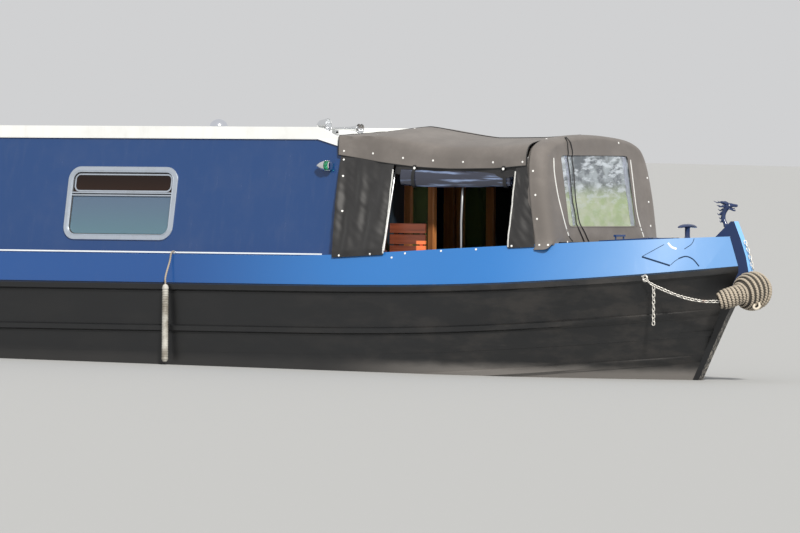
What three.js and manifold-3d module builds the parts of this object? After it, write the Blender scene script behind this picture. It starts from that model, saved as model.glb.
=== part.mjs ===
import * as THREE from "three";
import { mergeVertices } from "three/addons/utils/BufferGeometryUtils.js";
import Module from "manifold-3d";

// A steel narrowboat, 15.24 m from stem to counter, with a canopy over its front well.
// Millimetres. +X to the bow, +Y to port, +Z up. z = 0 is the underside of the base plate.

// Driving dimensions of the hull
const BOW = 7655; // foremost point of the stem
const STERN = -7560; // aft edge of the counter
const GAP = 0.3; // between pieces that touch
const WALL = 60; // hull plating with its lining
const STEM_HALF = 34; // half the width of the stem bar
const STEM_TOP = 1700;
const STEM_NOSE = 1297; // height of the foremost point
const FLOOR = 200; // cabin floor over the ballast
const WELL_DECK = 620;
const COUNTER = 600; // underside of the counter, just awash
const DECK = 1200; // top of the stern deck
const DECK_THICK = 40;

// Cabin
const CABIN_FRONT = 4660;
const CABIN_REAR = -5800;
const BULKHEAD = 55;
const SIDE_FOOT = 890; // half breadth of the cabin at the side deck
const SIDE_HEAD = 715; // half breadth at the roof edge
const FOOT_Z = 1390;
const HEAD_Z = 2330;
const SIDE_THICK = 55;
const RAIL_TOP = 2430;
const RAIL_END = 4049; // the handrail starts to sweep down here
const RAIL_TIP = 4234;
const ROOF_CROWN = 2382;

// Windows, the same on both sides
const WINDOW = { width: 1067, height: 610, corner: 115, flange: 38, proud: 12, z: 1796 };
const WINDOW_X = [2190, -210, -2610, -4850];

// Doors
const FRONT_DOOR = { half: 360, low: 780, high: 2200, leaf: 357, thick: 40 };
const FRONT_OPEN = { starboard: 108, port: 92 }; // degrees
const REAR_DOOR = { half: 330, low: 1240, high: 2322, leaf: 326, thick: 35 };
const HATCH = { rear: -5840, front: -5060, half: 392, top: 2475, thick: 25, slide: 680 };

// Canopy
const CLOTH = 10;
const CANOPY_REAR = 4250;
const CANOPY_FRONT = 6070;
const HOOP_X = 5400;

const wasm = await Module();
wasm.setup();

// A geometry as a solid that can be joined and cut.
function solid(geometry) {
  const plain = geometry.index ? geometry.toNonIndexed() : geometry.clone();
  plain.deleteAttribute("normal");
  plain.deleteAttribute("uv");
  const merged = mergeVertices(plain, 1e-3);
  const mesh = new wasm.Mesh({
    numProp: 3,
    vertProperties: merged.attributes.position.array,
    triVerts: new Uint32Array(merged.index.array),
  });
  return new wasm.Manifold(mesh);
}

function geometryOf(shape) {
  const mesh = shape.getMesh();
  const geometry = new THREE.BufferGeometry();
  geometry.setAttribute("position", new THREE.BufferAttribute(mesh.vertProperties, 3));
  geometry.setIndex(new THREE.BufferAttribute(mesh.triVerts, 1));
  geometry.computeVertexNormals();
  return geometry;
}

const join = (...parts) => geometryOf(parts.map(solid).reduce((sum, part) => sum.add(part)));
const cut = (base, ...tools) =>
  geometryOf(tools.map(solid).reduce((rest, tool) => rest.subtract(tool), solid(base)));
const common = (a, b) => geometryOf(solid(a).intersect(solid(b)));

// The largest body of a solid, without the crumbs that cutting left.
const largest = (shape) =>
  geometryOf(solid(shape).decompose().reduce((a, b) => (a.volume() > b.volume() ? a : b)));

// The same shape on the other side of the centreline.
function mirrored(geometry) {
  const copy = (geometry.index ? geometry.toNonIndexed() : geometry.clone()).scale(1, -1, 1);
  const p = copy.attributes.position;
  for (let i = 0; i < p.count; i += 3) {
    const [x, y, z] = [p.getX(i), p.getY(i), p.getZ(i)];
    p.setXYZ(i, p.getX(i + 1), p.getY(i + 1), p.getZ(i + 1));
    p.setXYZ(i + 1, x, y, z);
  }
  copy.deleteAttribute("normal");
  copy.deleteAttribute("uv");
  copy.computeVertexNormals();
  return copy;
}

function box(x0, x1, y0, y1, z0, z1) {
  const geometry = new THREE.BoxGeometry(x1 - x0, y1 - y0, z1 - z0);
  return geometry.translate((x0 + x1) / 2, (y0 + y1) / 2, (z0 + z1) / 2);
}

// A cylinder between two points.
function rod(from, to, radius, sides = 12) {
  const a = new THREE.Vector3(...from);
  const b = new THREE.Vector3(...to);
  const geometry = new THREE.CylinderGeometry(radius, radius, a.distanceTo(b), sides);
  const along = b.clone().sub(a).normalize();
  const turn = new THREE.Quaternion().setFromUnitVectors(new THREE.Vector3(0, 1, 0), along);
  return geometry.applyQuaternion(turn).translate(...a.add(b).multiplyScalar(0.5).toArray());
}

// A round tube along a smooth curve through the points.
function tube(points, radius, sides = 8, steps = points.length * 3) {
  const path = new THREE.CatmullRomCurve3(points.map((p) => new THREE.Vector3(...p)), false, "centripetal");
  const ring = new THREE.Shape();
  ring.absarc(0, 0, radius, 0, Math.PI * 2);
  const section = new THREE.Shape(ring.getSpacedPoints(sides).slice(0, sides));
  return new THREE.ExtrudeGeometry(section, { steps, extrudePath: path });
}

// An outline in x and z, given thickness in y.
function plateXZ(points, y0, y1) {
  const outline = new THREE.Shape(points.map(([x, z]) => new THREE.Vector2(x, z)));
  const geometry = new THREE.ExtrudeGeometry(outline, { depth: y1 - y0, bevelEnabled: false });
  return geometry.rotateX(Math.PI / 2).translate(0, y1, 0);
}

// An outline in y and z, given thickness in x.
function plateYZ(points, x0, x1) {
  const outline = new THREE.Shape(points.map(([y, z]) => new THREE.Vector2(y, z)));
  const geometry = new THREE.ExtrudeGeometry(outline, { depth: x1 - x0, bevelEnabled: false });
  return geometry.rotateZ(Math.PI / 2).rotateY(Math.PI / 2).translate(x0, 0, 0);
}

// A rounded rectangle centred on the origin.
function roundedRectangle(width, height, corner, cornerPoints = 3) {
  const points = [];
  // Side in x, side in y, first angle
  const quadrants = [[1, 1, 0], [-1, 1, 90], [-1, -1, 180], [1, -1, 270]];
  for (const [sx, sy, first] of quadrants)
    for (let k = 0; k <= cornerPoints; k++) {
      const a = THREE.MathUtils.degToRad(first + (90 * k) / cornerPoints);
      const cx = sx * (width / 2 - corner);
      const cy = sy * (height / 2 - corner);
      points.push(new THREE.Vector2(cx + corner * Math.cos(a), cy + corner * Math.sin(a)));
    }
  return new THREE.Shape(points);
}

// A skin over closed rings of equal length, capped at both ends. flat names the two axes that the caps are
// cut in; without it the ring is the same on both sides of the centreline and its cap is cut across the boat.
function loft(rings, flat) {
  const count = rings[0].length;
  const index = [];
  for (let r = 0; r + 1 < rings.length; r++)
    for (let i = 0; i < count; i++) {
      const j = (i + 1) % count;
      const [a, b, c, d] = [r * count + i, r * count + j, (r + 1) * count + i, (r + 1) * count + j];
      index.push(a, b, d, a, d, c);
    }
  for (const [ring, turned] of [[0, true], [rings.length - 1, false]])
    for (const face of flat ? flatCap(rings[ring], flat) : crossCap(count)) {
      const ordered = turned ? [face[0], face[2], face[1]] : face;
      index.push(...ordered.map((i) => ring * count + i));
    }
  const geometry = new THREE.BufferGeometry();
  geometry.setAttribute("position", new THREE.Float32BufferAttribute(rings.flat(2), 3));
  geometry.setIndex(volumeOf(rings.flat(), index) > 0 ? index : [...index].reverse());
  geometry.computeVertexNormals();
  return geometry;
}

// Faces of a ring's cap, all turned the way the ring runs.
function flatCap(ring, flat) {
  const contour = ring.map((p) => new THREE.Vector2(p[flat[0]], p[flat[1]]));
  const turn = Math.sign(THREE.ShapeUtils.area(contour));
  return THREE.ShapeUtils.triangulateShape(contour, []).map((face) => {
    const same = Math.sign(THREE.ShapeUtils.area(face.map((i) => contour[i]))) === turn;
    return same ? face : [face[0], face[2], face[1]];
  });
}

function crossCap(count) {
  const odd = count % 2;
  const faces = odd ? [[0, 1, count - 1]] : [];
  for (let low = odd, high = count - 1; high - low > 1; low++, high--)
    faces.push([low, low + 1, high - 1], [low, high - 1, high]);
  return faces;
}

function volumeOf(points, index) {
  let sum = 0;
  for (let i = 0; i < index.length; i += 3) {
    const [a, b, c] = [0, 1, 2].map((k) => new THREE.Vector3(...points[index[i + k]]));
    sum += a.dot(b.cross(c)) / 6;
  }
  return sum;
}

// How far the stem's front edge lies aft of its nose at height z.
function stemSetback(z) {
  const below = STEM_NOSE - z;
  return below > 0 ? 0.93 * below ** 0.914 : 0.031 * (-below) ** 1.4;
}
const stemFront = (z) => BOW - stemSetback(z);
const stemBack = (z) => stemFront(z) - (z < 900 ? 70 : 90);

// The hull's level lines: height amidships, rise to the stem with where it starts and how it grows,
// half breadth, length of the curved bow, and how far the line stands out.
const RISE_END = 7560;
const line = (z, rise, from, power, half, entry, out = 0) => ({ z, rise, from, power, half, entry, out });
const BASE = line(0, 0, 4000, 1, 990, 2500);
const STRAKE = [[-30, 0], [-19, 22], [19, 22], [30, 0]]; // height about its middle, how far it stands out
const LOW_STRAKE = STRAKE.map(([dz, out]) => line(400 + dz, 232, 4400, 1.4, 1010, 2300, out));
const AWASH = line(COUNTER, 215, 4200, 1.8, 1018, 2250);
const MID_STRAKE = STRAKE.map(([dz, out]) => line(790 + dz, 205, 4000, 2.3, 1026, 2200, out));
const GUARD_EDGE = [[-68, 0], [-54, 26], [-14, 26], [0, 0]];
const GUARD = GUARD_EDGE.map(([dz, out]) => line(1160 + dz, 185, 4000, 2.6, 1040, 2150, out));
const SHEER = GUARD[3];
const GUNWALE = line(FOOT_Z, 194, 4200, 1, 980, 2100);

const heightAt = (l, x) => l.z + (x > l.from ? l.rise * ((x - l.from) / (RISE_END - l.from)) ** l.power : 0);
const COUNTER_ROUND = 900; // length of the rounded stern
const SWIM = { start: -5250, end: -6750 }; // where the hull narrows under the counter
const STERN_STEPS = 7;
const BOW_STEPS = 9;
const STRAIGHT_X = [0, 4000]; // where straight sides get a station, with two more up to the curved bow

// The plan curve of a level line from the stern to the stem, starboard half as [x, y, z] with y positive,
// moved inwards by inset.
function planCurve(l, inset = 0, swim = false) {
  const half = l.half - inset;
  const stern = swim ? swimCurve(l.half, inset) : sternCurve(half, inset, l.out);
  const bow = bowCurve(l, inset);
  const before = (part) => STRAIGHT_X[1] + (bow[0][0] - STRAIGHT_X[1]) * part;
  const straight = [...STRAIGHT_X, before(0.35), before(0.7)].map((x) => [x, half]);
  const proud = [...straight, ...bow.slice(0, -1)].map(([x, y]) => [x, y + l.out]);
  return [...stern, ...proud, bow[BOW_STEPS]].map(([x, y]) => [x, y, heightAt(l, x)]);
}

function sternCurve(half, inset, out) {
  const points = [];
  for (let k = 0; k <= STERN_STEPS; k++) {
    const a = ((k / STERN_STEPS) * Math.PI) / 2;
    const x = STERN + inset + (COUNTER_ROUND - inset) * (1 - Math.cos(a)) - out * Math.cos(a);
    points.push([x, (half + out) * Math.sin(a)]);
  }
  return points;
}

function bowCurve(l, inset) {
  const stem = stemBack(heightAt(l, RISE_END));
  const start = stem - l.entry;
  const radius = l.entry / Math.sin(2 * Math.atan((l.half - STEM_HALF) / l.entry));
  const centre = l.half - radius;
  const endY = inset > 0 ? 6 : STEM_HALF - inset;
  const end = Math.acos((endY - centre) / (radius - inset));
  const points = [];
  for (let k = 0; k <= BOW_STEPS; k++) {
    const a = (end * k) / BOW_STEPS;
    points.push([start + (radius - inset) * Math.sin(a), centre + (radius - inset) * Math.cos(a)]);
  }
  return points;
}

function swimCurve(half, inset) {
  const length = SWIM.start - SWIM.end;
  const radius = length / Math.sin(2 * Math.atan((half - STEM_HALF) / length));
  const centre = half - radius;
  const end = Math.acos(((inset > 0 ? 6 : STEM_HALF - inset) - centre) / (radius - inset));
  const points = [];
  for (let k = STERN_STEPS; k >= 0; k--) {
    const a = (end * k) / STERN_STEPS;
    points.push([SWIM.start - (radius - inset) * Math.sin(a), centre + (radius - inset) * Math.cos(a)]);
  }
  return points;
}

// A closed ring round the hull from one half curve.
function ringOf(curve) {
  const starboard = curve.map(([x, y, z]) => [x, -y, z]);
  const port = curve.filter(([, y]) => y > 1).reverse();
  return [...starboard, ...port];
}

function hullLoft(inset) {
  const low = [BASE, ...LOW_STRAKE, { ...AWASH, z: COUNTER + 40 }];
  const lower = low.map((l) => ringOf(planCurve(l, inset, true)));
  const upper = [AWASH, ...MID_STRAKE, ...GUARD].map((l) => ringOf(planCurve(l, inset)));
  return join(loft(lower), loft(upper));
}

// What lies inside the plating: smooth, open above.
function hullInside(inset = WALL) {
  const over = { ...SHEER, z: SHEER.z + 300 };
  const lower = [BASE, { ...AWASH, z: COUNTER + 60 }].map((l) => ringOf(planCurve(l, inset, true)));
  const upper = [AWASH, SHEER, over].map((l) => ringOf(planCurve({ ...l, out: 0 }, inset)));
  return join(loft(lower), loft(upper));
}

// Spaces inside the hull, with their ends in x and their floor
const HOLLOWS = {
  cabin: { rear: CABIN_REAR + BULKHEAD, front: CABIN_FRONT - BULKHEAD, floor: FLOOR },
  well: { rear: CABIN_FRONT, front: 6300, floor: WELL_DECK },
  locker: { rear: 6400, front: 7150, floor: 900 },
  engine: { rear: -6480, front: CABIN_REAR, floor: FLOOR },
  counter: { rear: -7480, front: CABIN_REAR, floor: COUNTER + 40 },
};
const RUDDER_X = -7230;
const SHAFT_Z = 330;

const hullBody = hullLoft(0);

function hullShell() {
  const whole = join(
    hullBody,
    rod([SWIM.end - 140, 0, SHAFT_Z], [SWIM.end + 120, 0, SHAFT_Z], 45, 16),
    box(RUDDER_X - 60, SWIM.end + 100, -30, 30, 0, 40),
  );
  const inside = hullInside();
  const space = ({ rear, front, floor }) => box(rear, front, -1100, 1100, floor, 1900);
  const tools = Object.values(HOLLOWS).map((h) => common(inside, space(h)));
  const { half, low } = FRONT_DOOR;
  const doorway = box(CABIN_FRONT - 200, CABIN_FRONT + 50, -half, half, low, 1900);
  const rudderTube = rod([RUDDER_X, 0, 500], [RUDDER_X, 0, 700], 34, 16);
  const heelCup = rod([RUDDER_X, 0, 3], [RUDDER_X, 0, 60], 15, 16);
  const shaftBore = rod([SWIM.end - 200, 0, SHAFT_Z], [SWIM.end + 60, 0, SHAFT_Z], 20.1, 16);
  return cut(whole, ...tools, doorway, rudderTube, heelCup, shaftBore);
}

// The shell in five pieces that meet with a gap: a base with the cross walls and the block under the well,
// two sides, a bow and a stern.
const CORE_ROOM = 5; // between the curved sides and what stands between them
function hullPieces() {
  const shell = hullShell();
  const half = GAP / 2;
  const [rear, front] = [HOLLOWS.engine.rear + half, HOLLOWS.well.front - half];
  const part = (x0, x1, y0, y1, z0, z1) => common(shell, box(x0, x1, y0, y1, z0, z1));
  const wide = 1500; // past the hull's half breadth and past its top
  const crossed = [[HOLLOWS.cabin.front, front], [CABIN_REAR, HOLLOWS.cabin.rear]];
  const walls = crossed.map(([x0, x1]) => part(x0, x1, -wide, wide, FLOOR - 1, 2 * wide));
  const core = common(join(...walls), hullInside(WALL + CORE_ROOM));
  const side = (y0, y1) => cut(part(rear, front, y0, y1, FLOOR + half, 2 * wide), hullInside());
  return {
    hull_base: join(part(rear, front, -wide, wide, -1, FLOOR - half), core),
    hull_side_starboard: side(-wide, -half),
    hull_side_port: side(half, wide),
    hull_bow: part(front + GAP, BOW + 100, -wide, wide, -1, 2 * wide),
    hull_stern: part(STERN - 100, rear - GAP, -wide, wide, -1, 2 * wide),
  };
}

// The upper side of the hull from the guard to the side deck, with the side deck itself, starboard.
const SIDE_DECK = 135;
function topsideBand() {
  const raised = (l, dz) => ({ ...l, z: l.z + dz });
  const corners = [
    planCurve(raised(SHEER, GAP), 0),
    planCurve(GUNWALE, 0),
    planCurve(GUNWALE, SIDE_DECK),
    planCurve(raised(GUNWALE, -40), SIDE_DECK),
    planCurve(raised(GUNWALE, -40), 45),
    planCurve(raised(SHEER, GAP), 40),
  ];
  const place = ([x, y, z]) => [x, -Math.max(y, GAP / 2), z];
  const sections = corners[0].map((_, i) => corners.map((c) => place(c[i])));
  return cut(loft(sections, [0, 2]), cabinSideSlab(GAP, GAP));
}

// The leaning cabin side in its own plane: x along the boat, y up the slope, z outwards.
const LEAN = Math.atan2(SIDE_FOOT - SIDE_HEAD, HEAD_Z - FOOT_Z);
const slopeAt = (z) => (z - FOOT_Z) / Math.cos(LEAN);
const sideY = (z) => SIDE_FOOT - (z - FOOT_Z) * Math.tan(LEAN);

function ontoSide(geometry) {
  return geometry.rotateX(Math.PI / 2 - LEAN).translate(0, -SIDE_FOOT, FOOT_Z);
}

// The side as a slab; its foot is cut level.
function cabinSideSlab(grow, lift) {
  const inner = SIDE_THICK + grow;
  const section = [
    [-sideY(FOOT_Z) - grow, FOOT_Z + GAP - lift],
    [-sideY(HEAD_Z) - grow, HEAD_Z + grow],
    [-sideY(HEAD_Z) + inner, HEAD_Z + grow],
    [-sideY(FOOT_Z) + inner, FOOT_Z + GAP - lift],
  ];
  return plateYZ(section, CABIN_REAR - grow, CABIN_FRONT + grow);
}

function windowCutter(x, margin) {
  const { width, height, corner } = WINDOW;
  const shape = roundedRectangle(width - 2 * margin, height - 2 * margin, corner - margin);
  const geometry = new THREE.ExtrudeGeometry(shape, { depth: 300, bevelEnabled: false });
  return ontoSide(geometry.translate(x, slopeAt(WINDOW.z), -200));
}

function cabinSide() {
  return cut(cabinSideSlab(0, 0), ...WINDOW_X.map((x) => windowCutter(x, WINDOW.flange - 4)));
}

// A window: outer flange, inner sleeve, transom bar and pane.
function windowUnit(x) {
  const { width, height, corner, flange, proud } = WINDOW;
  const extrude = (w, h, r, from, to) => {
    const options = { depth: to - from, bevelEnabled: false };
    return new THREE.ExtrudeGeometry(roundedRectangle(w, h, r), options).translate(0, 0, from);
  };
  const outer = extrude(width, height, corner, GAP, proud);
  const sleeve = extrude(width - 2 * flange, height - 2 * flange, corner - flange, -SIDE_THICK, proud);
  const light = extrude(width - 2 * flange - 20, height - 2 * flange - 20, corner - flange - 10, -100, 100);
  const [x1, y1] = [width / 2 - flange, height / 2 - flange];
  const bar = box(-x1, x1, 62, 92, -20, 4);
  const pane = box(-x1, x1, -y1, y1, -14, -8);
  const body = join(cut(join(outer, sleeve), light), common(join(bar, pane), sleeveFill()));
  return ontoSide(body.translate(x, slopeAt(WINDOW.z), 0));
}

function sleeveFill() {
  const { width, height, corner, flange } = WINDOW;
  const shape = roundedRectangle(width - 2 * flange - 8, height - 2 * flange - 8, corner - flange - 4);
  return new THREE.ExtrudeGeometry(shape, { depth: 100, bevelEnabled: false }).translate(0, 0, -60);
}

// Points of the roof's outline in y and z
const ROOF_EDGE = [SIDE_HEAD + 9, HEAD_Z + 14];
const ROOF_MIDDLE = [350, ROOF_CROWN - 13];
function roofAt(y) {
  const part = (Math.abs(y) - ROOF_MIDDLE[0]) / (ROOF_EDGE[0] - ROOF_MIDDLE[0]);
  return ROOF_MIDDLE[1] + (ROOF_EDGE[1] - ROOF_MIDDLE[1]) * Math.max(0, part);
}

// Roof plate with a handrail along each edge and the runners of the rear hatch
function roof() {
  const edge = SIDE_HEAD + 13;
  const outer = [[edge, HEAD_Z + GAP], ROOF_EDGE, ROOF_MIDDLE, [0, ROOF_CROWN]];
  const under = [[0, ROOF_CROWN - 45], [350, ROOF_CROWN - 50], [SIDE_HEAD - SIDE_THICK, HEAD_Z + GAP]];
  const toStarboard = ([y, z]) => [-y, z];
  const outline = [
    ...outer.map(toStarboard),
    ...outer.slice(0, -1).reverse(),
    ...under.slice().reverse(),
    ...under.slice(1).map(toStarboard),
  ];
  const plate = plateYZ(outline, CABIN_REAR, CABIN_FRONT);
  const opening = box(CABIN_REAR - 50, HATCH.front - 60, -REAR_DOOR.half, REAR_DOOR.half, 2200, 2600);
  const runnerTop = HATCH.top - HATCH.thick - 0.5;
  const runner = box(CABIN_REAR + 20, HATCH.front + HATCH.slide, 345, 370, ROOF_CROWN - 22, runnerTop);
  return join(cut(plate, opening), handrail(), mirrored(handrail()), runner, mirrored(runner));
}

// The starboard handrail: a tall strip whose front end sweeps down over the cabin side.
function handrail() {
  const y = -(SIDE_HEAD + 13);
  const rearTip = CABIN_REAR + 40;
  const strip = [
    [rearTip, HEAD_Z + 6],
    [RAIL_END, HEAD_Z + 6],
    [RAIL_TIP, HEAD_Z + 3],
    [RAIL_TIP - 10, HEAD_Z + 14],
    [RAIL_END + 20, RAIL_TOP - 12],
    [RAIL_END - 40, RAIL_TOP],
    [rearTip + 120, RAIL_TOP],
    [rearTip, RAIL_TOP - 60],
  ];
  const sweep = [
    [RAIL_END - 30, slopeAt(HEAD_Z + 2)],
    [RAIL_TIP - 6, slopeAt(HEAD_Z - 54)],
    [RAIL_TIP + 8, slopeAt(HEAD_Z - 48)],
    [RAIL_TIP, slopeAt(HEAD_Z + 12)],
    [RAIL_END - 30, slopeAt(HEAD_Z + 12)],
  ];
  const outline = new THREE.Shape(sweep.map(([x, v]) => new THREE.Vector2(x, v)));
  const tail = new THREE.ExtrudeGeometry(outline, { depth: 14, bevelEnabled: false }).translate(0, 0, GAP);
  return join(plateXZ(strip, y, y + 40), ontoSide(tail));
}

// Bulkhead outline between the cabin sides, under the roof
function bulkheadOutline(low) {
  const foot = FOOT_Z - 45;
  const half = [
    [920, low],
    [920, foot],
    [840, foot],
    [sideY(FOOT_Z) - SIDE_THICK - 2, FOOT_Z],
    [sideY(HEAD_Z) - SIDE_THICK - 1, HEAD_Z - 1],
    [350, ROOF_CROWN - 51],
  ];
  const crown = [0, ROOF_CROWN - 46];
  return [...half.map(([y, z]) => [-y, z]), crown, ...half.reverse()];
}

// Hinge knuckles at two parts of the door's height, between lugs of half breadth lugHalf
const HINGE = { radius: 9, length: 60, lug: 12, lugHalf: 7, out: 12, high: 0.85, low: 0.35 };

function frontBulkhead() {
  const { half, low, high } = FRONT_DOOR;
  const outline = bulkheadOutline(heightAt(SHEER, CABIN_FRONT) + 1);
  const plate = plateYZ(outline, CABIN_FRONT - BULKHEAD, CABIN_FRONT);
  const bare = cut(plate, box(4500, 4800, -half, half, low, high));
  return join(bare, ...hingeLugs(FRONT_DOOR, CABIN_FRONT - 6, CABIN_FRONT + HINGE.out + 5));
}

// Lugs above and below each hinge knuckle, on both sides of a doorway
function hingeLugs({ half, low, high }, x0, x1) {
  const { length, lug, lugHalf } = HINGE;
  const lugs = [];
  for (const y of [-half - 4, half + 4])
    for (const part of [HINGE.low, HINGE.high])
      for (const end of [-1, 1]) {
        const z = low + (high - low) * part + (end * (length + lug + 1)) / 2;
        lugs.push(box(x0, x1, y - lugHalf, y + lugHalf, z - lug / 2, z + lug / 2));
      }
  return lugs;
}

function rearBulkhead() {
  const { half } = REAR_DOOR;
  const plate = plateYZ(bulkheadOutline(SHEER.z + GAP), CABIN_REAR, CABIN_REAR + BULKHEAD);
  const bare = cut(plate, box(-5900, -5700, -half, half, REAR_DOOR.low - 15, 2500));
  return join(bare, ...hingeLugs(REAR_DOOR, CABIN_REAR - HINGE.out - 5, CABIN_REAR + 6));
}

// A door leaf hinged at the origin, reaching along +y, with its hinge knuckles; glazed if it has a pane.
function doorLeaf({ leaf, low, high, thick }, glazed) {
  const height = high - low;
  const slab = box(0, thick, 10, leaf, low, high);
  const z = (part) => low + height * part;
  const knuckles = [HINGE.low, HINGE.high].map((part) =>
    join(
      rod([0, 0, z(part) - HINGE.length / 2], [0, 0, z(part) + HINGE.length / 2], HINGE.radius, 12),
      box(-2, 6, 0, 34, z(part) - HINGE.length / 2, z(part) + HINGE.length / 2),
    ),
  );
  const bare = glazed ? cut(slab, box(-10, 12, 90, leaf - 84, low + 560, high - 90)) : slab;
  return join(bare, ...knuckles);
}

// Stem bar with the upright head plate behind it
function stem() {
  const heights = [0, 300, 600, 899, 901, 1150, STEM_NOSE, 1420, 1560, STEM_TOP];
  const front = heights.map((z) => [stemFront(z), z]);
  const deckAt = (x) => heightAt(GUNWALE, x) + 2;
  const plate = [[stemFront(STEM_TOP) - 30, STEM_TOP], [HEAD_PLATE_REAR, deckAt(HEAD_PLATE_REAR)]];
  const jointX = stemBack(STEM_JOINT.high);
  const low = STEM_JOINT.low;
  const joint = [jointX + 2, deckAt(jointX)];
  const back = heights.filter((z) => z < low).map((z) => [stemBack(z) - 14, z]).reverse();
  const behindBand = [[stemBack(low) + 2, low + 2], [stemBack(low) - 14, low - 1]];
  const bar = plateXZ([...front, ...plate, joint, ...behindBand, ...back], -STEM_HALF, STEM_HALF);
  return cut(bar, hullLoft(-GAP));
}
// Where the topside bands end against the stem
const STEM_JOINT = { low: 1342, high: 1581 };
const HEAD_PLATE_REAR = 7345;

// A dragon's head on a curved neck, looking forward: skull, two jaws, horns swept back, ears and a crest.
const DRAGON = { x: 7422, z: 1662 };
function dragon() {
  const at = (x, y, z) => [DRAGON.x + x, y, DRAGON.z + z];
  const neck = tube([at(12, 0, -14), at(-12, 0, 50), at(-10, 0, 105), at(22, 0, 148)], 18, 8, 8);
  const skull = ball(at(34, 0, 162), [36, 24, 26]);
  const upper = wedge(at(52, 0, 166), at(112, 0, 160), 20, 11);
  const lower = wedge(at(48, 0, 146), at(92, 0, 122), 14, 7);
  const hornLine = (y) => [at(22, y, 176), at(-20, y * 1.5, 192), at(-62, y * 1.8, 184), at(-98, y * 2, 196)];
  const horn = (y) => tube(hornLine(y), 7, 6, 6);
  const spikes = [[-30, 30], [-46, 62], [-34, 70], [-52, 104], [-30, 112], [-40, 150], [6, 168]];
  const front = [[-4, 90], [-10, 30]];
  const crest = plateXZ([...spikes, ...front].map(([x, z]) => [DRAGON.x + x, DRAGON.z + z]), -5, 5);
  return cut(join(neck, skull, upper, lower, horn(12), horn(-12), crest), stem().translate(-GAP, 0, GAP));
}

function ball([x, y, z], [rx, ry, rz], detail = 8) {
  return new THREE.SphereGeometry(1, detail, Math.round(detail * 0.7)).scale(rx, ry, rz).translate(x, y, z);
}

// A blunt taper between two points.
function wedge(from, to, wide, narrow) {
  const a = new THREE.Vector3(...from);
  const b = new THREE.Vector3(...to);
  const geometry = new THREE.CylinderGeometry(narrow, wide, a.distanceTo(b), 8);
  const along = b.clone().sub(a).normalize();
  const turn = new THREE.Quaternion().setFromUnitVectors(new THREE.Vector3(0, 1, 0), along);
  return geometry.applyQuaternion(turn).translate(...a.add(b).multiplyScalar(0.5).toArray());
}

// Foredeck inside the topside bands, with the locker's hatchway (its rear, front and half width) and the
// panel under its rear edge
const FOREDECK = { rear: 6362, thick: 30, drop: 3, hatch: [6420, 6830, 230] };
function foredeck() {
  const edge = planCurve(GUNWALE, SIDE_DECK + GAP * 3).filter(([x]) => x > FOREDECK.rear);
  const rearHalf = halfAt(FOREDECK.rear, SIDE_DECK + GAP * 3);
  const curve = [[FOREDECK.rear, rearHalf, heightAt(GUNWALE, FOREDECK.rear)], ...edge];
  const level = (dz) => {
    const starboard = curve.map(([x, y, z]) => [x, -y, z + dz]);
    return [...starboard, ...curve.map(([x, y, z]) => [x, y, z + dz]).reverse()];
  };
  const plate = loft([level(-FOREDECK.drop - FOREDECK.thick), level(-FOREDECK.drop)]);
  const [hatchRear, hatchFront, hatchHalf] = FOREDECK.hatch;
  const panelTop = heightAt(GUNWALE, FOREDECK.rear) - FOREDECK.drop - 5;
  const panel = box(FOREDECK.rear, FOREDECK.rear + 30, -rearHalf + 90, rearHalf - 90, 1200, panelTop);
  const { x, z } = LID_HINGE;
  const lug = (y) => box(x - 7, x + 7, y - 6.5, y + 6.5, z - 24, z + 9);
  const lugs = [-197, -123, 123, 197].map(lug);
  const hatchway = box(hatchRear, hatchFront, -hatchHalf, hatchHalf, 1400, 1700);
  return cut(join(plate, panel, ...lugs), hatchway, hullBody.clone().translate(0, 0, GAP));
}

// Half breadth of the side deck's inner or outer edge at x.
function halfAt(x, inset) {
  const curve = planCurve(GUNWALE, inset);
  const i = curve.findIndex(([px]) => px > x);
  const [a, b] = [curve[i - 1], curve[i]];
  return a[1] + ((b[1] - a[1]) * (x - a[0])) / (b[0] - a[0]);
}

// Lid with its rim, handle and hinge knuckles. Its hinge line is at its front edge.
const deckHeight = (x) => heightAt(GUNWALE, x) - FOREDECK.drop;
const LID_HINGE = { x: 6862, z: deckHeight(6862) + 14 };
const LID_SLOPE = Math.atan2(GUNWALE.rise, RISE_END - GUNWALE.from);
function gasLockerLid() {
  const [rear, front, half] = FOREDECK.hatch;
  const length = LID_HINGE.x - rear + 22;
  const plate = box(-length, -14, -half - 25, half + 25, -8, 8);
  const handle = join(
    rod([-length + 45, -62, 6], [-length + 45, -62, 44], 7, 8),
    rod([-length + 45, 62, 6], [-length + 45, 62, 44], 7, 8),
    box(-length + 33, -length + 57, -75, 75, 36, 52),
  );
  const pin = (y) => rod([0, y - 30, 0], [0, y + 30, 0], 8, 12);
  const knuckle = (y) => join(pin(y), box(-24, 0, y - 30, y + 30, -8, 0));
  const lid = join(plate, handle, knuckle(-160), knuckle(160));
  return lid.rotateY(-LID_SLOPE).translate(LID_HINGE.x, 0, LID_HINGE.z);
}

// Mooring stud: a flared foot, a post and a bar across it.
const STUD = { post: 21, foot: 48, footThick: 9, bar: 17, height: 106 };
function tStud(x, y, deck, half = 143) {
  const axle = deck + STUD.height;
  return join(
    rod([x, y, deck + GAP], [x, y, axle], STUD.post, 12),
    rod([x, y, deck + GAP], [x, y, deck + STUD.footThick], STUD.foot, 16),
    rod([x, y - half, axle], [x, y + half, axle], STUD.bar, 10),
  );
}

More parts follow.
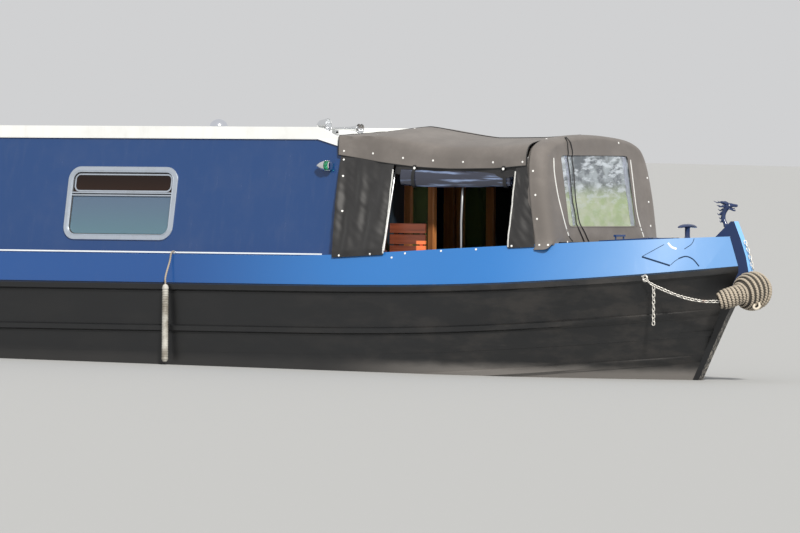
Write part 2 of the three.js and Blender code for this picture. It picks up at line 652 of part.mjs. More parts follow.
// Slatted seat in the well beside the starboard coaming
const SEAT = {
  rear: 4774,
  front: 5108,
  back: -800,
  deep: 270,
  seatZ: 1120,
  top: 1658,
  low: 1226,
  slats: 5,
  slatGap: 12,
};
function wellSeat() {
  const { rear, front, back, deep, seatZ, top, low, slats, slatGap } = SEAT;
  const height = (top - low - slatGap * (slats - 1)) / slats;
  const parts = [];
  for (let k = 0; k < slats; k++) {
    const z = low + k * (height + slatGap);
    parts.push(box(rear, front, back - 9, back + 9, z, z + height));
  }
  for (let k = 0; k < 4; k++) {
    const y = back + 25 + (k * (deep - 20)) / 4;
    parts.push(box(rear, front, y, y + 62, seatZ - 18, seatZ));
  }
  for (const x of [rear + 30, front - 60]) {
    parts.push(box(x, x + 30, back + 6, back + 36, WELL_DECK + GAP, top - 14));
    parts.push(box(x, x + 30, back + deep - 32, back + deep - 2, WELL_DECK + GAP, seatZ - 16));
    parts.push(box(x, x + 30, back + 20, back + deep - 4, seatZ - 60, seatZ - 16));
  }
  return join(...parts);
}

// Roof fittings
function mushroomVent(x) {
  const foot = ROOF_CROWN + GAP;
  const profile = [[0, foot], [58, foot], [58, foot + 8], [44, foot + 12], [44, foot + 44], [76, foot + 50]];
  const dome = [[76, foot + 58], [66, foot + 82], [46, foot + 100], [22, foot + 110], [0, foot + 113]];
  const points = [...profile, ...dome].map(([r, z]) => new THREE.Vector2(r, z));
  return new THREE.LatheGeometry(points, 14).rotateX(Math.PI / 2).translate(x, 0, 0);
}

const LAMP = { x: 4010, y: -560, z: 2446, radius: 52 };
function tunnelLamp() {
  const { x, y, z, radius } = LAMP;
  const shell = [[0, -86], [20, -80], [38, -62], [48, -30], [radius, 0], [radius + 3, 6], [radius + 3, 16]];
  const lens = [[radius - 4, 18], [radius * 0.6, 24], [0, 27]];
  const body = new THREE.LatheGeometry([...shell, ...lens].map(([r, h]) => new THREE.Vector2(r, h)), 14);
  body.rotateZ(-Math.PI / 2).translate(x, y, z);
  const seat = roofAt(y + 28) + GAP;
  const foot = rod([x - 30, y, seat + 4], [x - 30, y, z - 30], 12, 10);
  return join(body, foot, box(x - 62, x + 2, y - 28, y + 28, seat, seat + 9));
}

// Two trumpets side by side on one bracket, mouths forward.
const HORN = { y: -430, z: 2420, long: { x: 4236, length: 300 }, short: { x: 4224, length: 245 }, apart: 64 };
function twinHorn() {
  const trumpet = (front, length, y) => {
    const outer = [[0, 0], [11, 2], [11, 30], [13, length * 0.6], [21, length * 0.85], [38, length]];
    const inner = [[34, length], [12, length - 34], [0, length - 40]];
    const points = [...outer, ...inner].map(([r, h]) => new THREE.Vector2(r, h));
    const geometry = new THREE.LatheGeometry(points, 10);
    return geometry.rotateZ(-Math.PI / 2).translate(front - length, y, HORN.z);
  };
  const rearX = HORN.long.x - HORN.long.length;
  const bridge = box(rearX + 20, rearX + 90, HORN.y - 14, HORN.y + HORN.apart + 14, HORN.z - 12, HORN.z + 10);
  const inner = HORN.y + HORN.apart - 12;
  const foot = box(rearX + 34, rearX + 76, HORN.y + 12, inner, roofAt(inner) + GAP, HORN.z - 8);
  return join(
    trumpet(HORN.long.x, HORN.long.length, HORN.y),
    trumpet(HORN.short.x, HORN.short.length, HORN.y + HORN.apart),
    bridge,
    foot,
  );
}

// Bullet shaped side lamp on the cabin side, its point aft, its lens forward.
const SIDE_LAMP = { x: 4135, z: 2118, length: 140, radius: 42 };
function sideLamp() {
  const { x, z, length, radius } = SIDE_LAMP;
  const y = -sideY(z) - radius - 6;
  const shell = [[0, 0], [15, 14], [30, 42], [radius, 84], [radius, 92]];
  const lens = [[36, 94], [36, 132], [26, length], [0, length]];
  const body = new THREE.LatheGeometry([...shell, ...lens].map(([r, h]) => new THREE.Vector2(r, h)), 12);
  body.rotateZ(-Math.PI / 2).translate(x - length / 2, y, z);
  const pad = ontoSide(box(x - 38, x + 26, slopeAt(z) - 26, slopeAt(z) + 26, GAP, 22));
  return join(body, pad);
}

// Canopy. Each section of its roof as half breadth and height, from the hem to the middle.
const ROOF_CLOTH = [
  [CANOPY_REAR, [[757, 2205], [754, 2341], [728, 2364], [450, 2384], [200, 2394], [0, 2400]]],
  [CABIN_FRONT, [[775, 2150], [763, 2338], [730, 2364], [455, 2402], [205, 2431], [0, 2441]]],
  [4980, [[778, 2115], [766, 2262], [712, 2322], [455, 2370], [205, 2388], [0, 2394]]],
  [5310, [[782, 2100], [770, 2222], [708, 2284], [455, 2328], [205, 2348], [0, 2354]]],
  [5740, [[806, 2106], [795, 2226], [724, 2292], [460, 2334], [210, 2352], [0, 2358]]],
  [CANOPY_FRONT, [[846, 2130], [836, 2238], [758, 2308], [466, 2350], [218, 2372], [0, 2380]]],
];
function canopyRoof() {
  const rings = ROOF_CLOTH.map(([x, half]) => {
    const outer = half.map(([y, z]) => [x, -y, z]);
    const inner = half.map(([y, z], i) => [x, -(y - (i < 3 ? CLOTH : 0)), z - (i === 0 ? 0 : CLOTH)]);
    const toPort = ([px, y, z]) => [px, -y, z];
    const whole = (side) => [...side, ...side.slice(0, -1).reverse().map(toPort)];
    return [...whole(outer), ...whole(inner).reverse()];
  });
  return loft(rings, [1, 2]);
}

// The front of the canopy: a raked panel with rounded returns, over the front hoop.
const FRONT_CLOTH = {
  outline: [
    [892, 1462],
    [868, 1530],
    [876, 1860],
    [850, 2110],
    [800, 2240],
    [720, 2302],
    [560, 2346],
    [280, 2372],
    [0, 2382],
  ],
  rear: CANOPY_FRONT + GAP,
  face: 6190,
  top: 2382,
  rearRake: 0.12,
  rake: 0.15,
  corner: [[75, 0], [28, 20], [0, 75]], // how far aft of the face, how far in from the outline
};
function canopyFront() {
  const { outline, rear, face, top, rearRake, rake, corner } = FRONT_CLOTH;
  const ring = (x, lean, inset) => {
    const half = outline.map(([y, z], i) => [Math.max(0, y - (y ? inset : 0)), i ? z - inset * 0.4 : z]);
    const place = ([y, z]) => [x + (top - z) * lean, y, z];
    const starboard = half.map(([y, z]) => place([-y, z]));
    return [...starboard, ...half.slice(0, -1).reverse().map(place)];
  };
  const skin = (inset) => [
    ring(rear - inset / 2, rearRake, inset),
    ...corner.map(([aft, within]) => ring(face - aft - inset, rake, within + inset)),
  ];
  const foot = box(5900, 6500, -815, 815, 1400, 1522);
  const bandOuter = [SHEER, { ...GUNWALE, z: GUNWALE.z + 2 }].map((l) => ringOf(planCurve(l, -2)));
  return largest(cut(loft(skin(0), [1, 2]), loft(skin(CLOTH), [1, 2]), foot, loft(bandOuter)));
}

// Side cloth between two edges, each edge as x at the head and x at the hem, starboard. It hangs from the
// roof's hem and ends outside the topside band.
const HEM_DROP = 22; // how far it hangs below the side deck
const HEM_RISE = 45; // where it clears the edge of the side deck
const HEM_OUT = 16;
const CLOTH_STEP = 24; // between the rings of a side cloth, short because its foot turns against its head
function sideCloth(rear, front) {
  const steps = Math.ceil((front.head - rear.head) / CLOTH_STEP);
  const step = (front.head - rear.head) / steps;
  const even = Array.from({ length: steps + 1 }, (_, k) => rear.head + step * k);
  const corners = ROOF_CLOTH.map(([x]) => x).filter((x) => x > rear.head && x < front.head);
  const clear = even.filter((x) => corners.every((corner) => Math.abs(corner - x) > step / 2));
  const heads = [...clear, ...corners].sort((a, b) => a - b);
  const rings = heads.map((head) => {
    const foot = rear.foot + ((front.foot - rear.foot) * (head - rear.head)) / (front.head - rear.head);
    const edge = halfAt(foot, 0) + HEM_OUT;
    const deck = heightAt(GUNWALE, foot);
    const [headY, headZ] = hemAt(head);
    const lap = (HEM_DROP + HEM_RISE) / (headZ - GAP - deck + HEM_DROP);
    const outer = [
      [head, headY, headZ - GAP],
      [foot + (head - foot) * lap, edge, deck + HEM_RISE],
      [foot, edge + 5, deck - HEM_DROP],
    ];
    const inner = outer.map(([x, y, z]) => [x, -y + CLOTH, z]).reverse();
    return [...outer.map(([x, y, z]) => [x, -y, z]), ...inner];
  });
  return loft(rings, [1, 2]);
}

// Half breadth and height of the roof's hem at x.
function hemAt(x) {
  const i = Math.max(1, ROOF_CLOTH.findIndex(([hx]) => hx >= x));
  const [[x0, [low]], [x1, [high]]] = [ROOF_CLOTH[i - 1], ROOF_CLOTH[i]];
  const part = (x - x0) / (x1 - x0);
  return [low[0] + (high[0] - low[0]) * part, low[1] + (high[1] - low[1]) * part];
}

// The side window cloth rolled up under the hem
function rolledWindow() {
  const profile = roundedRectangle(58, 150, 28);
  const roll = new THREE.ExtrudeGeometry(profile, { depth: 1040, bevelEnabled: false });
  return roll.rotateX(Math.PI / 2).rotateZ(Math.PI / 2).translate(4860, -777, 2024.7);
}

// Tube hoops that carry the canopy, joined by a tube along the ridge.
const HOOP_TUBE = 12;
// The middle hoop stands on the well deck, the others on the side deck: half breadth and height, foot first.
const WELL_LEG = [[725, WELL_DECK + GAP + 4], [725, 1300], [722, 1960]];
const sideDeckLeg = (x) => [[halfAt(x, 100), heightAt(GUNWALE, x + 20) + GAP + 4]];
function canopyFrame() {
  const hoop = (x, shoulder, head, drop = 38, leg = sideDeckLeg(x)) => {
    const [[side, low]] = leg;
    const crown = ridgeAt(x) - CLOTH - HOOP_TUBE - 1;
    const rise = [...leg, [shoulder, head - 120], [shoulder - 40, head]];
    const top = [[shoulder - 180, crown - drop], [300, crown - 13], [0, crown]];
    const half = [...rise, ...top];
    const port = half.slice(0, -1).reverse().map(([y, z]) => [x, y, z]);
    const points = [...half.map(([y, z]) => [x, -y, z]), ...port];
    const feet = [-side, side].map((y) => box(x - 20, x + 20, y - 22, y + 22, low - 4, low + 12));
    return join(tube(points, HOOP_TUBE, 6, 13), ...feet);
  };
  const [rear, front] = [4760, 6040];
  const bar = (x) => [x, 0, ridgeAt(x) - CLOTH - HOOP_TUBE - 1];
  const stations = [rear, 4980, 5310, HOOP_X, 5740, front];
  const ridge = stations.slice(1).map((x, i) => rod(bar(stations[i]), bar(x), HOOP_TUBE - 2, 6));
  const whole = join(
    hoop(front, 790, 2222, 58),
    hoop(HOOP_X, 684, 2205, 38, WELL_LEG),
    hoop(rear, 690, 2262),
    ...ridge,
  );
  return cut(whole, canopyRoof().translate(0, 0, -GAP));
}

// Height of the canopy roof on the centreline at x
function ridgeAt(x) {
  const i = Math.max(1, ROOF_CLOTH.findIndex(([hx]) => hx >= x));
  const [[x0, low], [x1, high]] = [ROOF_CLOTH[i - 1], ROOF_CLOTH[i]];
  return low[5][1] + ((high[5][1] - low[5][1]) * (x - x0)) / (x1 - x0);
}

// Rope bow fender: a thick button on the stem with an arm along each side of the bow.
const FENDER = { x: 7670, z: 1148, radius: 158, reach: 156, arm: 82 };
function bowFender() {
  const { x, z, radius, reach, arm } = FENDER;
  const half = [[x - 142, -262, z - 78], [x - 95, -222, z - 58], [x - 40, -150, z - 30], [x, -40, z - 4]];
  const path = [...half, ...half.map(([px, py, pz]) => [px, -py, pz]).reverse()];
  const arms = tube(path, arm, 10, 14);
  const body = join(arms, ball([x, 0, z], [reach, radius, radius], 14));
  const stemRoom = stem().scale(1, 1.04, 1).translate(1, 0, 0);
  return largest(cut(body, hullLoft(-1.5), stemRoom));
}

// A chain of flat links, every other one turned, as one piece.
function chain(points, link = 62, wire = 9) {
  const path = new THREE.CatmullRomCurve3(points.map((p) => new THREE.Vector3(...p)), false, "centripetal");
  const count = Math.max(2, Math.round(path.getLength() / (link - wire * 1.6)));
  const spots = path.getSpacedPoints(count);
  const parts = [];
  for (let k = 0; k < count; k++) {
    const along = spots[k + 1].clone().sub(spots[k]);
    const wide = k % 2 ? wire * 3 : wire;
    const tall = k % 2 ? wire : wire * 3;
    const piece = new THREE.BoxGeometry(along.length() + wire * 1.4, wide, tall);
    const turn = new THREE.Quaternion().setFromUnitVectors(new THREE.Vector3(1, 0, 0), along.normalize());
    piece.applyQuaternion(turn);
    parts.push(piece.translate(...spots[k].clone().lerp(spots[k + 1], 0.5).toArray()));
  }
  return join(...parts);
}

const CHAIN_EYE = [7016, -571, 1238];
function sideChain() {
  const [x, y, z] = CHAIN_EYE;
  const arm = [FENDER.x - 147.6, -271, FENDER.z - 84];
  const first = [[x, y, z], [x + 74, y + 12, z - 50]];
  const sag = [...first, [x + 240, y + 118, z - 132], [x + 380, y + 226, z - 172], arm];
  const hanging = chain([[x + 74, y + 12, z - 54], [x + 76, y + 10, z - 180], [x + 76, y + 10, z - 366]]);
  return join(chain(sag), hanging);
}

// Hung fender: a ribbed tube on a rope over the guard.
const SIDE_FENDER = { x: 2815, y: 1099, low: 513, high: 1146, radius: 27 };
function sideFender() {
  const { x, y, low, high, radius } = SIDE_FENDER;
  const lower = [[0, low], [14, low + 3], [radius, low + 22]];
  const profile = [...lower, [radius, high - 22], [14, high - 3], [0, high]];
  const points = profile.map(([r, h]) => new THREE.Vector2(r, h));
  const body = new THREE.LatheGeometry(points, 12).rotateX(Math.PI / 2);
  const overGuard = [[x, -y, high - 20], [x - 3, -y + 8, high + 60], [x - 10, -1020, 1330]];
  const overDeck = [[x - 12, -1000, 1378], [x - 12, -988, 1402], [x - 12, -955, 1402]];
  const rope = tube([...overGuard, ...overDeck], 8, 6, 10);
  const eye = box(x - 24, x, -968, -940, FOOT_Z + GAP, 1410);
  return join(body.translate(x, -y, 0), rope, eye);
}

// Stern
const ENGINE_HATCH = { rear: -6950, front: -6250, half: 420 };
function sternDeck() {
  const half = planCurve({ ...SHEER, z: 0 }, 62).filter(([x]) => x < CABIN_REAR);
  const curve = [...half, [CABIN_REAR - GAP, SHEER.half - 62, 0]];
  const port = curve.slice(1).reverse();
  const level = (z) => [...curve.map(([x, y]) => [x, -y, z]), ...port.map(([x, y]) => [x, y, z])];
  const plate = loft([level(DECK - DECK_THICK + GAP), level(DECK)]);
  const { rear, front, half: side } = ENGINE_HATCH;
  const hatchway = box(rear, front, -side, side, 1000, 1300);
  const { x, z } = ENGINE_LID_HINGE;
  const lugs = [-321, -239, 239, 321].map((y) => box(x - 8, x + 8, y - 5.5, y + 5.5, DECK - 5, z + 9));
  return join(cut(plate, hatchway, rod([RUDDER_X, 0, 1000], [RUDDER_X, 0, 1400], 34, 16)), ...lugs);
}

const ENGINE_LID_HINGE = { x: ENGINE_HATCH.front + 34, z: DECK + 14 };
function engineHatchLid() {
  const { rear, front, half } = ENGINE_HATCH;
  const plate = box(rear - 25, front + 18, -half - 25, half + 25, DECK + 5, DECK + 23);
  const rim = box(rear + 12, front - 12, -half + 12, half - 12, DECK - 30, DECK + 6);
  const { x, z } = ENGINE_LID_HINGE;
  const pin = (y) => rod([x, y - 35, z], [x, y + 35, z], 9, 12);
  const knuckle = (y) => join(pin(y), box(x - 30, x, y - 35, y + 35, z - 8, z + 8));
  return join(plate, rim, knuckle(-280), knuckle(280));
}

function sternRail() {
  const inset = SIDE_DECK / 2;
  const z = DECK + 700;
  const curve = planCurve({ ...GUNWALE, z }, inset).filter(([x]) => x < -6500);
  const starboard = [...curve, [-6420, GUNWALE.half - inset, z]].map(([x, y]) => [x, -y, z]).reverse();
  const port = starboard.slice(0, -1).reverse().map(([x, y]) => [x, -y, z]);
  const top = tube([...starboard, ...port], 16, 6, 30);
  const posts = [1, 4, 7].flatMap((i) => {
    const [x, y] = curve[curve.length - i];
    return [-y, y].map((side) => rod([x, side, FOOT_Z + GAP], [x, side, z], 13, 8));
  });
  return join(top, ...posts);
}

const COLUMN = [-6060, -640];
function controlColumn() {
  const [x, y] = COLUMN;
  const lever = tube([[x - 40, y + 62, 1840], [x - 60, y + 92, 1900], [x - 90, y + 96, 2010]], 9, 6, 6);
  const knob = ball([x - 92, y + 96, 2018], [20, 20, 20], 8);
  const hub = rod([x - 40, y + 50, 1838], [x - 40, y + 78, 1838], 34, 12);
  return join(box(x - 90, x + 60, y - 60, y + 55, DECK + GAP, 1890), hub, lever, knob);
}

const RUDDER = { fore: 120, aft: 400, low: 70, high: 560, thick: 14, stock: 22 };
function rudder() {
  const { fore, aft, low, high, thick, stock } = RUDDER;
  const foot = [[-aft, low + 30], [-aft + 30, low], [fore, low]];
  const head = [[fore, high - 60], [fore - 60, high], [-aft, high]];
  const blade = plateXZ([...foot, ...head].map(([x, z]) => [RUDDER_X + x, z]), -thick / 2, thick / 2);
  return join(
    blade,
    rod([RUDDER_X, 0, low - 5], [RUDDER_X, 0, DECK + 120], stock, 16),
    rod([RUDDER_X, 0, 3.4], [RUDDER_X, 0, low], 14, 16),
    rod([RUDDER_X, 0, DECK + 40], [RUDDER_X, 0, DECK + 130], 34, 16),
  );
}

function swanNeck() {
  const foot = DECK + 128;
  const rise = [[0, foot], [0, foot + 200], [-20, foot + 420], [-42, foot + 600]];
  const bend = [[-8, foot + 760], [110, foot + 826], [260, foot + 836]];
  return tube([...rise, ...bend].map(([x, z]) => [RUDDER_X + x, 0, z]), 21, 8, 16);
}

// Brass bar with a turned timber grip
const TILLER = { rear: RUDDER_X + 261, bar: RUDDER_X + 760, tip: RUDDER_X + 960, z: DECK + 964 };
function tiller() {
  const { rear, bar, tip, z } = TILLER;
  const grip = wedge([bar, 0, z + 20], [tip, 0, z + 28], 17, 22);
  return join(rod([rear, 0, z], [bar + 5, 0, z + 20], 15, 12), grip);
}

const BLADE_PITCH = 28; // degrees
function propeller() {
  const x = SWIM.end - 175;
  const hub = wedge([x - 50, 0, SHAFT_Z], [x + 30, 0, SHAFT_Z], 28, 40);
  const shaft = rod([x, 0, SHAFT_Z], [SWIM.end + 50, 0, SHAFT_Z], 19.7, 16);
  const blades = [0, 120, 240].map((turn) => {
    const shape = new THREE.Shape();
    shape.absellipse(0, 122, 72, 92, 0, Math.PI * 2);
    const outline = new THREE.Shape(shape.getSpacedPoints(16).slice(0, 16));
    const blade = new THREE.ExtrudeGeometry(outline, { depth: 12, bevelEnabled: false });
    blade.translate(0, 0, -6).rotateY(THREE.MathUtils.degToRad(BLADE_PITCH));
    blade.rotateX(Math.PI / 2).rotateZ(Math.PI / 2).rotateX(THREE.MathUtils.degToRad(turn));
    return blade.translate(x - 6, 0, SHAFT_Z);
  });
  return join(hub, shaft, ...blades);
}

const STERN_FENDER_Z = 900;
function sternFender() {
  const z = STERN_FENDER_Z;
  const profile = [[0, 0], [118, 2], [142, 60], [146, 160], [122, 240], [70, 286], [0, 299]];
  const body = new THREE.LatheGeometry(profile.map(([r, h]) => new THREE.Vector2(r, h)), 20);
  body.rotateZ(Math.PI / 2).translate(STERN - 1, 0, z);
  return cut(body, hullLoft(-1.5));
}

function rearHatch() {
  const { rear, front, half, top, thick } = HATCH;
  const slab = box(rear, front, -half, half, top - thick, top);
  const lip = (y) => box(rear, front, y, y + 14, 2400, top - thick + 2);
  const stop = box(rear, rear + 18, -318, 318, REAR_DOOR.high + 12, top - thick + 2);
  return join(slab, lip(-half), lip(half - 14), stop);
}

const mesh = (name, geometry, colour, roughness = 0.5, metalness = 0.2) => {
  const material = new THREE.MeshStandardMaterial({ color: colour, roughness, metalness });
  const made = new THREE.Mesh(geometry, material);
  made.name = name;
  return made;
};

const COLOUR = {
  blue: 0x345590,
  bowBlue: 0x4a80c0,
  black: 0x1f2224,
  white: 0xf2f2ef,
  alloy: 0xc9ced4,
  cloth: 0x5f5a57,
  timber: 0x7c4a20,
  redwood: 0x5a281c,
  chrome: 0xd8dadd,
  rope: 0x958a7e,
  brass: 0xb08a3a,
  deck: 0x3a4a5c,
  rubber: 0xb9bab8,
  engine: 0x3d5a45,
};

const boat = new THREE.Group();
const add = (...args) => boat.add(mesh(...args));
const bothSides = (name, geometry, ...look) => {
  add(name + "_starboard", geometry, ...look);
  add(name + "_port", mirrored(geometry), ...look);
};

for (const [name, geometry] of Object.entries(hullPieces()))
  add(name, largest(geometry), COLOUR.black, 0.5, 0.3);
const hullTop = hullBody.clone().translate(0, 0, GAP);
const band = topsideBand();
const sternStud = tStud(-6900, -900, FOOT_Z - 1, 70);
add("topside_band_starboard", join(cut(band, hullTop), sternStud), COLOUR.bowBlue, 0.3, 0.2);
add("topside_band_port", join(cut(mirrored(band), hullTop), mirrored(sternStud)), COLOUR.bowBlue, 0.3, 0.2);
add("stem", stem(), COLOUR.blue, 0.4, 0.2);
add("figurehead", dragon(), COLOUR.blue, 0.4, 0.2);
add("foredeck", foredeck(), COLOUR.deck, 0.7, 0.1);
add("gas_locker_lid", gasLockerLid(), COLOUR.deck, 0.7, 0.1);
const deckAbove = foredeck().translate(0, 0, GAP);
add("t_stud", cut(tStud(7070, 0, deckHeight(7070) - 4), deckAbove), COLOUR.blue, 0.4, 0.2);
add("well_seat", wellSeat(), COLOUR.redwood, 0.6, 0);
bothSides("cabin_side", cabinSide(), COLOUR.blue, 0.3, 0.2);
add("roof", roof(), COLOUR.white, 0.4, 0.1);
add("front_bulkhead", frontBulkhead(), COLOUR.blue, 0.4, 0.1);
add("rear_bulkhead", rearBulkhead(), COLOUR.blue, 0.4, 0.1);
WINDOW_X.forEach((x, i) => bothSides("window_" + (i + 1), windowUnit(x), COLOUR.alloy, 0.3, 0.8));

// Front leaves stand open, hinged on the front face of the bulkhead beside the doorway.
const leaf = doorLeaf(FRONT_DOOR, true);
for (const [side, y] of [["starboard", -1], ["port", 1]]) {
  const made = mesh("front_door_" + side, y < 0 ? leaf : mirrored(leaf), COLOUR.timber, 0.5, 0);
  made.position.set(CABIN_FRONT + HINGE.out, y * (FRONT_DOOR.half + 4), 0);
  made.rotation.z = THREE.MathUtils.degToRad(-FRONT_OPEN[side]) * (y < 0 ? 1 : -1);
  boat.add(made);
}
const rearLeaf = doorLeaf(REAR_DOOR, false);
for (const [side, y] of [["starboard", -1], ["port", 1]]) {
  const shape = y < 0 ? rearLeaf : mirrored(rearLeaf);
  const made = mesh("rear_door_" + side, shape, COLOUR.blue, 0.4, 0.1);
  made.position.set(CABIN_REAR - HINGE.out, y * (REAR_DOOR.half + 4), 0);
  boat.add(made);
}
add("rear_hatch", rearHatch(), COLOUR.blue, 0.4, 0.1);
const VENT_X = [2610, -1500, -3900];
VENT_X.forEach((x, i) => add("mushroom_vent_" + (i + 1), mushroomVent(x), COLOUR.chrome, 0.2, 1));
add("tunnel_lamp", tunnelLamp(), COLOUR.chrome, 0.2, 1);
add("twin_horn", twinHorn(), COLOUR.chrome, 0.2, 1);
bothSides("side_lamp", sideLamp(), COLOUR.chrome, 0.2, 1);

add("canopy_roof", canopyRoof(), COLOUR.cloth, 0.9, 0);
add("canopy_front", canopyFront(), COLOUR.cloth, 0.9, 0);
const aftEdge = { head: 4275, foot: 4346 };
const foreEdge = { head: 6066, foot: 6165 };
add("canopy_aft_flap", sideCloth(aftEdge, { head: 4790, foot: 4829 }), COLOUR.cloth, 0.9, 0);
add("canopy_fore_flap", sideCloth({ head: 5972, foot: 5958 }, foreEdge), COLOUR.cloth, 0.9, 0);
add("canopy_rolled_window", rolledWindow(), COLOUR.cloth, 0.7, 0);
add("canopy_port_side", mirrored(sideCloth(aftEdge, foreEdge)), COLOUR.cloth, 0.9, 0);
add("canopy_frame", canopyFrame(), COLOUR.alloy, 0.4, 0.6);

add("bow_fender", bowFender(), COLOUR.rope, 1, 0);
const topChain = [[stemFront(1540) + 11, 0, 1548], [stemFront(1430) + 16, 0, 1440], [BOW + 22, 0, 1316]];
add("fender_chain_top", chain(topChain), COLOUR.chrome, 0.4, 0.8);
bothSides("fender_chain", sideChain(), COLOUR.chrome, 0.4, 0.8);
bothSides("side_fender", sideFender(), COLOUR.rubber, 0.7, 0);

add("stern_deck", sternDeck(), COLOUR.deck, 0.7, 0.1);
add("engine_hatch_lid", engineHatchLid(), COLOUR.deck, 0.7, 0.1);
add("engine_block", box(-6430, -5860, -220, 220, FLOOR + GAP, 760), COLOUR.engine, 0.6, 0.3);
add("stern_rail", sternRail(), COLOUR.white, 0.4, 0.2);
add("control_column", controlColumn(), COLOUR.blue, 0.4, 0.2);
add("rudder", join(rudder(), swanNeck()), COLOUR.black, 0.6, 0.3);
add("tiller", tiller(), COLOUR.brass, 0.3, 1);
add("propeller", propeller(), COLOUR.brass, 0.4, 0.9);
add("stern_fender", sternFender(), COLOUR.rope, 1, 0);

export default boat;
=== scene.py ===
"""A steel narrowboat: its paint, canvas, glass, timber, rope and chain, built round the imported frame."""

import math
import random
from contextlib import contextmanager

import bmesh
import bpy
from bpy.props import FloatProperty, FloatVectorProperty, PointerProperty
from mathutils import Matrix, Vector
from mathutils.bvhtree import BVHTree
from mathutils.noise import noise as noise_at


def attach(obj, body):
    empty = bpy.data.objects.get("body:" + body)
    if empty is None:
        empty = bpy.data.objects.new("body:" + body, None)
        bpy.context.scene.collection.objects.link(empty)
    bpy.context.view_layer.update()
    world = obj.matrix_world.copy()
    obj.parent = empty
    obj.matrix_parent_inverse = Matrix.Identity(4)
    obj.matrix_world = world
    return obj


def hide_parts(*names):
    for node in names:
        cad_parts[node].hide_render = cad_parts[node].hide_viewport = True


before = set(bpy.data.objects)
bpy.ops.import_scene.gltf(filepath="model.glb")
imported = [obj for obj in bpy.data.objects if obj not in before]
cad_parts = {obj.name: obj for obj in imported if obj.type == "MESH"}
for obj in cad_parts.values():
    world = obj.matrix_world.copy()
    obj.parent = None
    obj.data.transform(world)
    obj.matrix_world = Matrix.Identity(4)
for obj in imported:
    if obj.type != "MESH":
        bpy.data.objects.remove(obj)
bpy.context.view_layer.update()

bl_info = {
    "name": "Narrowboat",
    "version": (1, 0, 0),
    "blender": (4, 5, 0),
    "location": "3D View > Sidebar > Boat",
    "description": "Dresses a narrowboat's frame in paint, canvas, glass, timber, rope and chain",
    "category": "Object",
}

SIDES = {"starboard": -1, "port": 1}
HULL = "boat"
MIRROR = Matrix.Scale(-1, 4, (0, 1, 0))
FLOAT_X, TRIM = 2.2, 0.0142 # where the waterline's height is given, and its slope towards the bow


def colour_property(name, value, description):
    return FloatVectorProperty(name=name, description=description, default=value, size=3,
                               min=0, max=1, subtype="COLOR")


def length_property(name, value, description):
    return FloatProperty(name=name, description=description, default=value, min=0,
                         subtype="DISTANCE", unit="LENGTH")


class BoatPaint(bpy.types.PropertyGroup):
    cabin: colour_property("Cabin blue", (0.010, 0.046, 0.158), "Coach paint of the cabin sides")
    topside: colour_property("Topside blue", (0.024, 0.160, 0.460), "Paint of the band over the guard")
    hull: colour_property("Hull black", (0.0085, 0.0090, 0.0100), "Blacking of the hull")
    scum: colour_property("Scum", (0.150, 0.140, 0.132), "Dried mud near the waterline")
    roof: colour_property("Roof white", (0.800, 0.810, 0.800), "Paint of the roof and its handrails")
    deck: colour_property("Deck paint", (0.030, 0.055, 0.110), "Non slip paint of the decks")
    line: colour_property("Coach line", (0.750, 0.780, 0.800), "Thin line along the cabin's foot")
    # The bulkhead's colour is painted shade: its blue paint darkened as it stands under the canopy.
    bulkhead: colour_property("Bulkhead", (0.012, 0.022, 0.035), "Dark paint beside the front doors")


class BoatCanopy(bpy.types.PropertyGroup):
    canvas: colour_property("Canvas", (0.132, 0.118, 0.109), "Coated cloth of the canopy's top and front")
    # The side cloth is darker than the top's cloth, and darkened further as painted shade, since the flaps face away
    # from the light.
    curtain: colour_property("Side cloth", (0.0125, 0.0120, 0.0125), "Smooth cloth of the side flaps")
    stud: length_property("Stud", 0.0085, "Radius of a press stud's cap")
    zip_width: length_property("Zip width", 0.012, "Width of a zip's teeth")
    cloth: length_property("Cloth", 0.004, "Thickness of the doubled cloth")


class BoatGlazing(bpy.types.PropertyGroup):
    alloy: colour_property("Alloy", (0.580, 0.640, 0.720), "Window frames")
    curtain: colour_property("Curtain", (0.620, 0.560, 0.430), "Cloth behind the windows")


class BoatRope(bpy.types.PropertyGroup):
    fibre: colour_property("Rope", (0.360, 0.305, 0.235), "Weathered rope of the fenders")
    strand: length_property("Strand", 0.027, "Spacing of the fender's rope rings")
    link: length_property("Chain link", 0.041, "Length of a chain link")
    wire: length_property("Chain wire", 0.0085, "Thickness of a chain link's wire")


class BoatStage(bpy.types.PropertyGroup):
    azimuth: FloatProperty(name="Azimuth", description="Camera turn round the boat, in degrees", default=31.731)
    elevation: FloatProperty(name="Elevation", description="Camera height over the horizon, in degrees",
                             default=0.522)
    roll: FloatProperty(name="Roll", description="Camera roll, in degrees", default=0.477)
    distance: length_property("Distance", 81.23, "From the camera to the point it was solved on")
    lens: FloatProperty(name="Lens", description="Focal length, in millimetres", default=450)
    waterline: length_property("Waterline", 0.500, "Height of the floor where the boat floats in it")
    floor: colour_property("Floor", (0.400, 0.405, 0.405), "Pale floor at the waterline")
    sun: FloatProperty(name="Key light", description="Strength of the main light", default=4.0)
    sky: FloatProperty(name="Fill light", description="Strength of the light all round", default=0.80)


def settings(group):
    return getattr(bpy.context.scene, "narrowboat_" + group)


# Meshes

def linked(name, data):
    """An object for a mesh or other data, linked to the scene."""
    piece = bpy.data.objects.new(name, data)
    bpy.context.scene.collection.objects.link(piece)
    return piece


def made(name, vertices, faces):
    """A linked object from plain vertices and faces."""
    mesh = bpy.data.meshes.new(name)
    mesh.from_pydata([tuple(v) for v in vertices], [], faces)
    mesh.update()
    return linked(name, mesh)


def from_bmesh(name, shape):
    """A linked object from a bmesh, which is freed."""
    mesh = bpy.data.meshes.new(name)
    shape.to_mesh(mesh)
    shape.free()
    return linked(name, mesh)


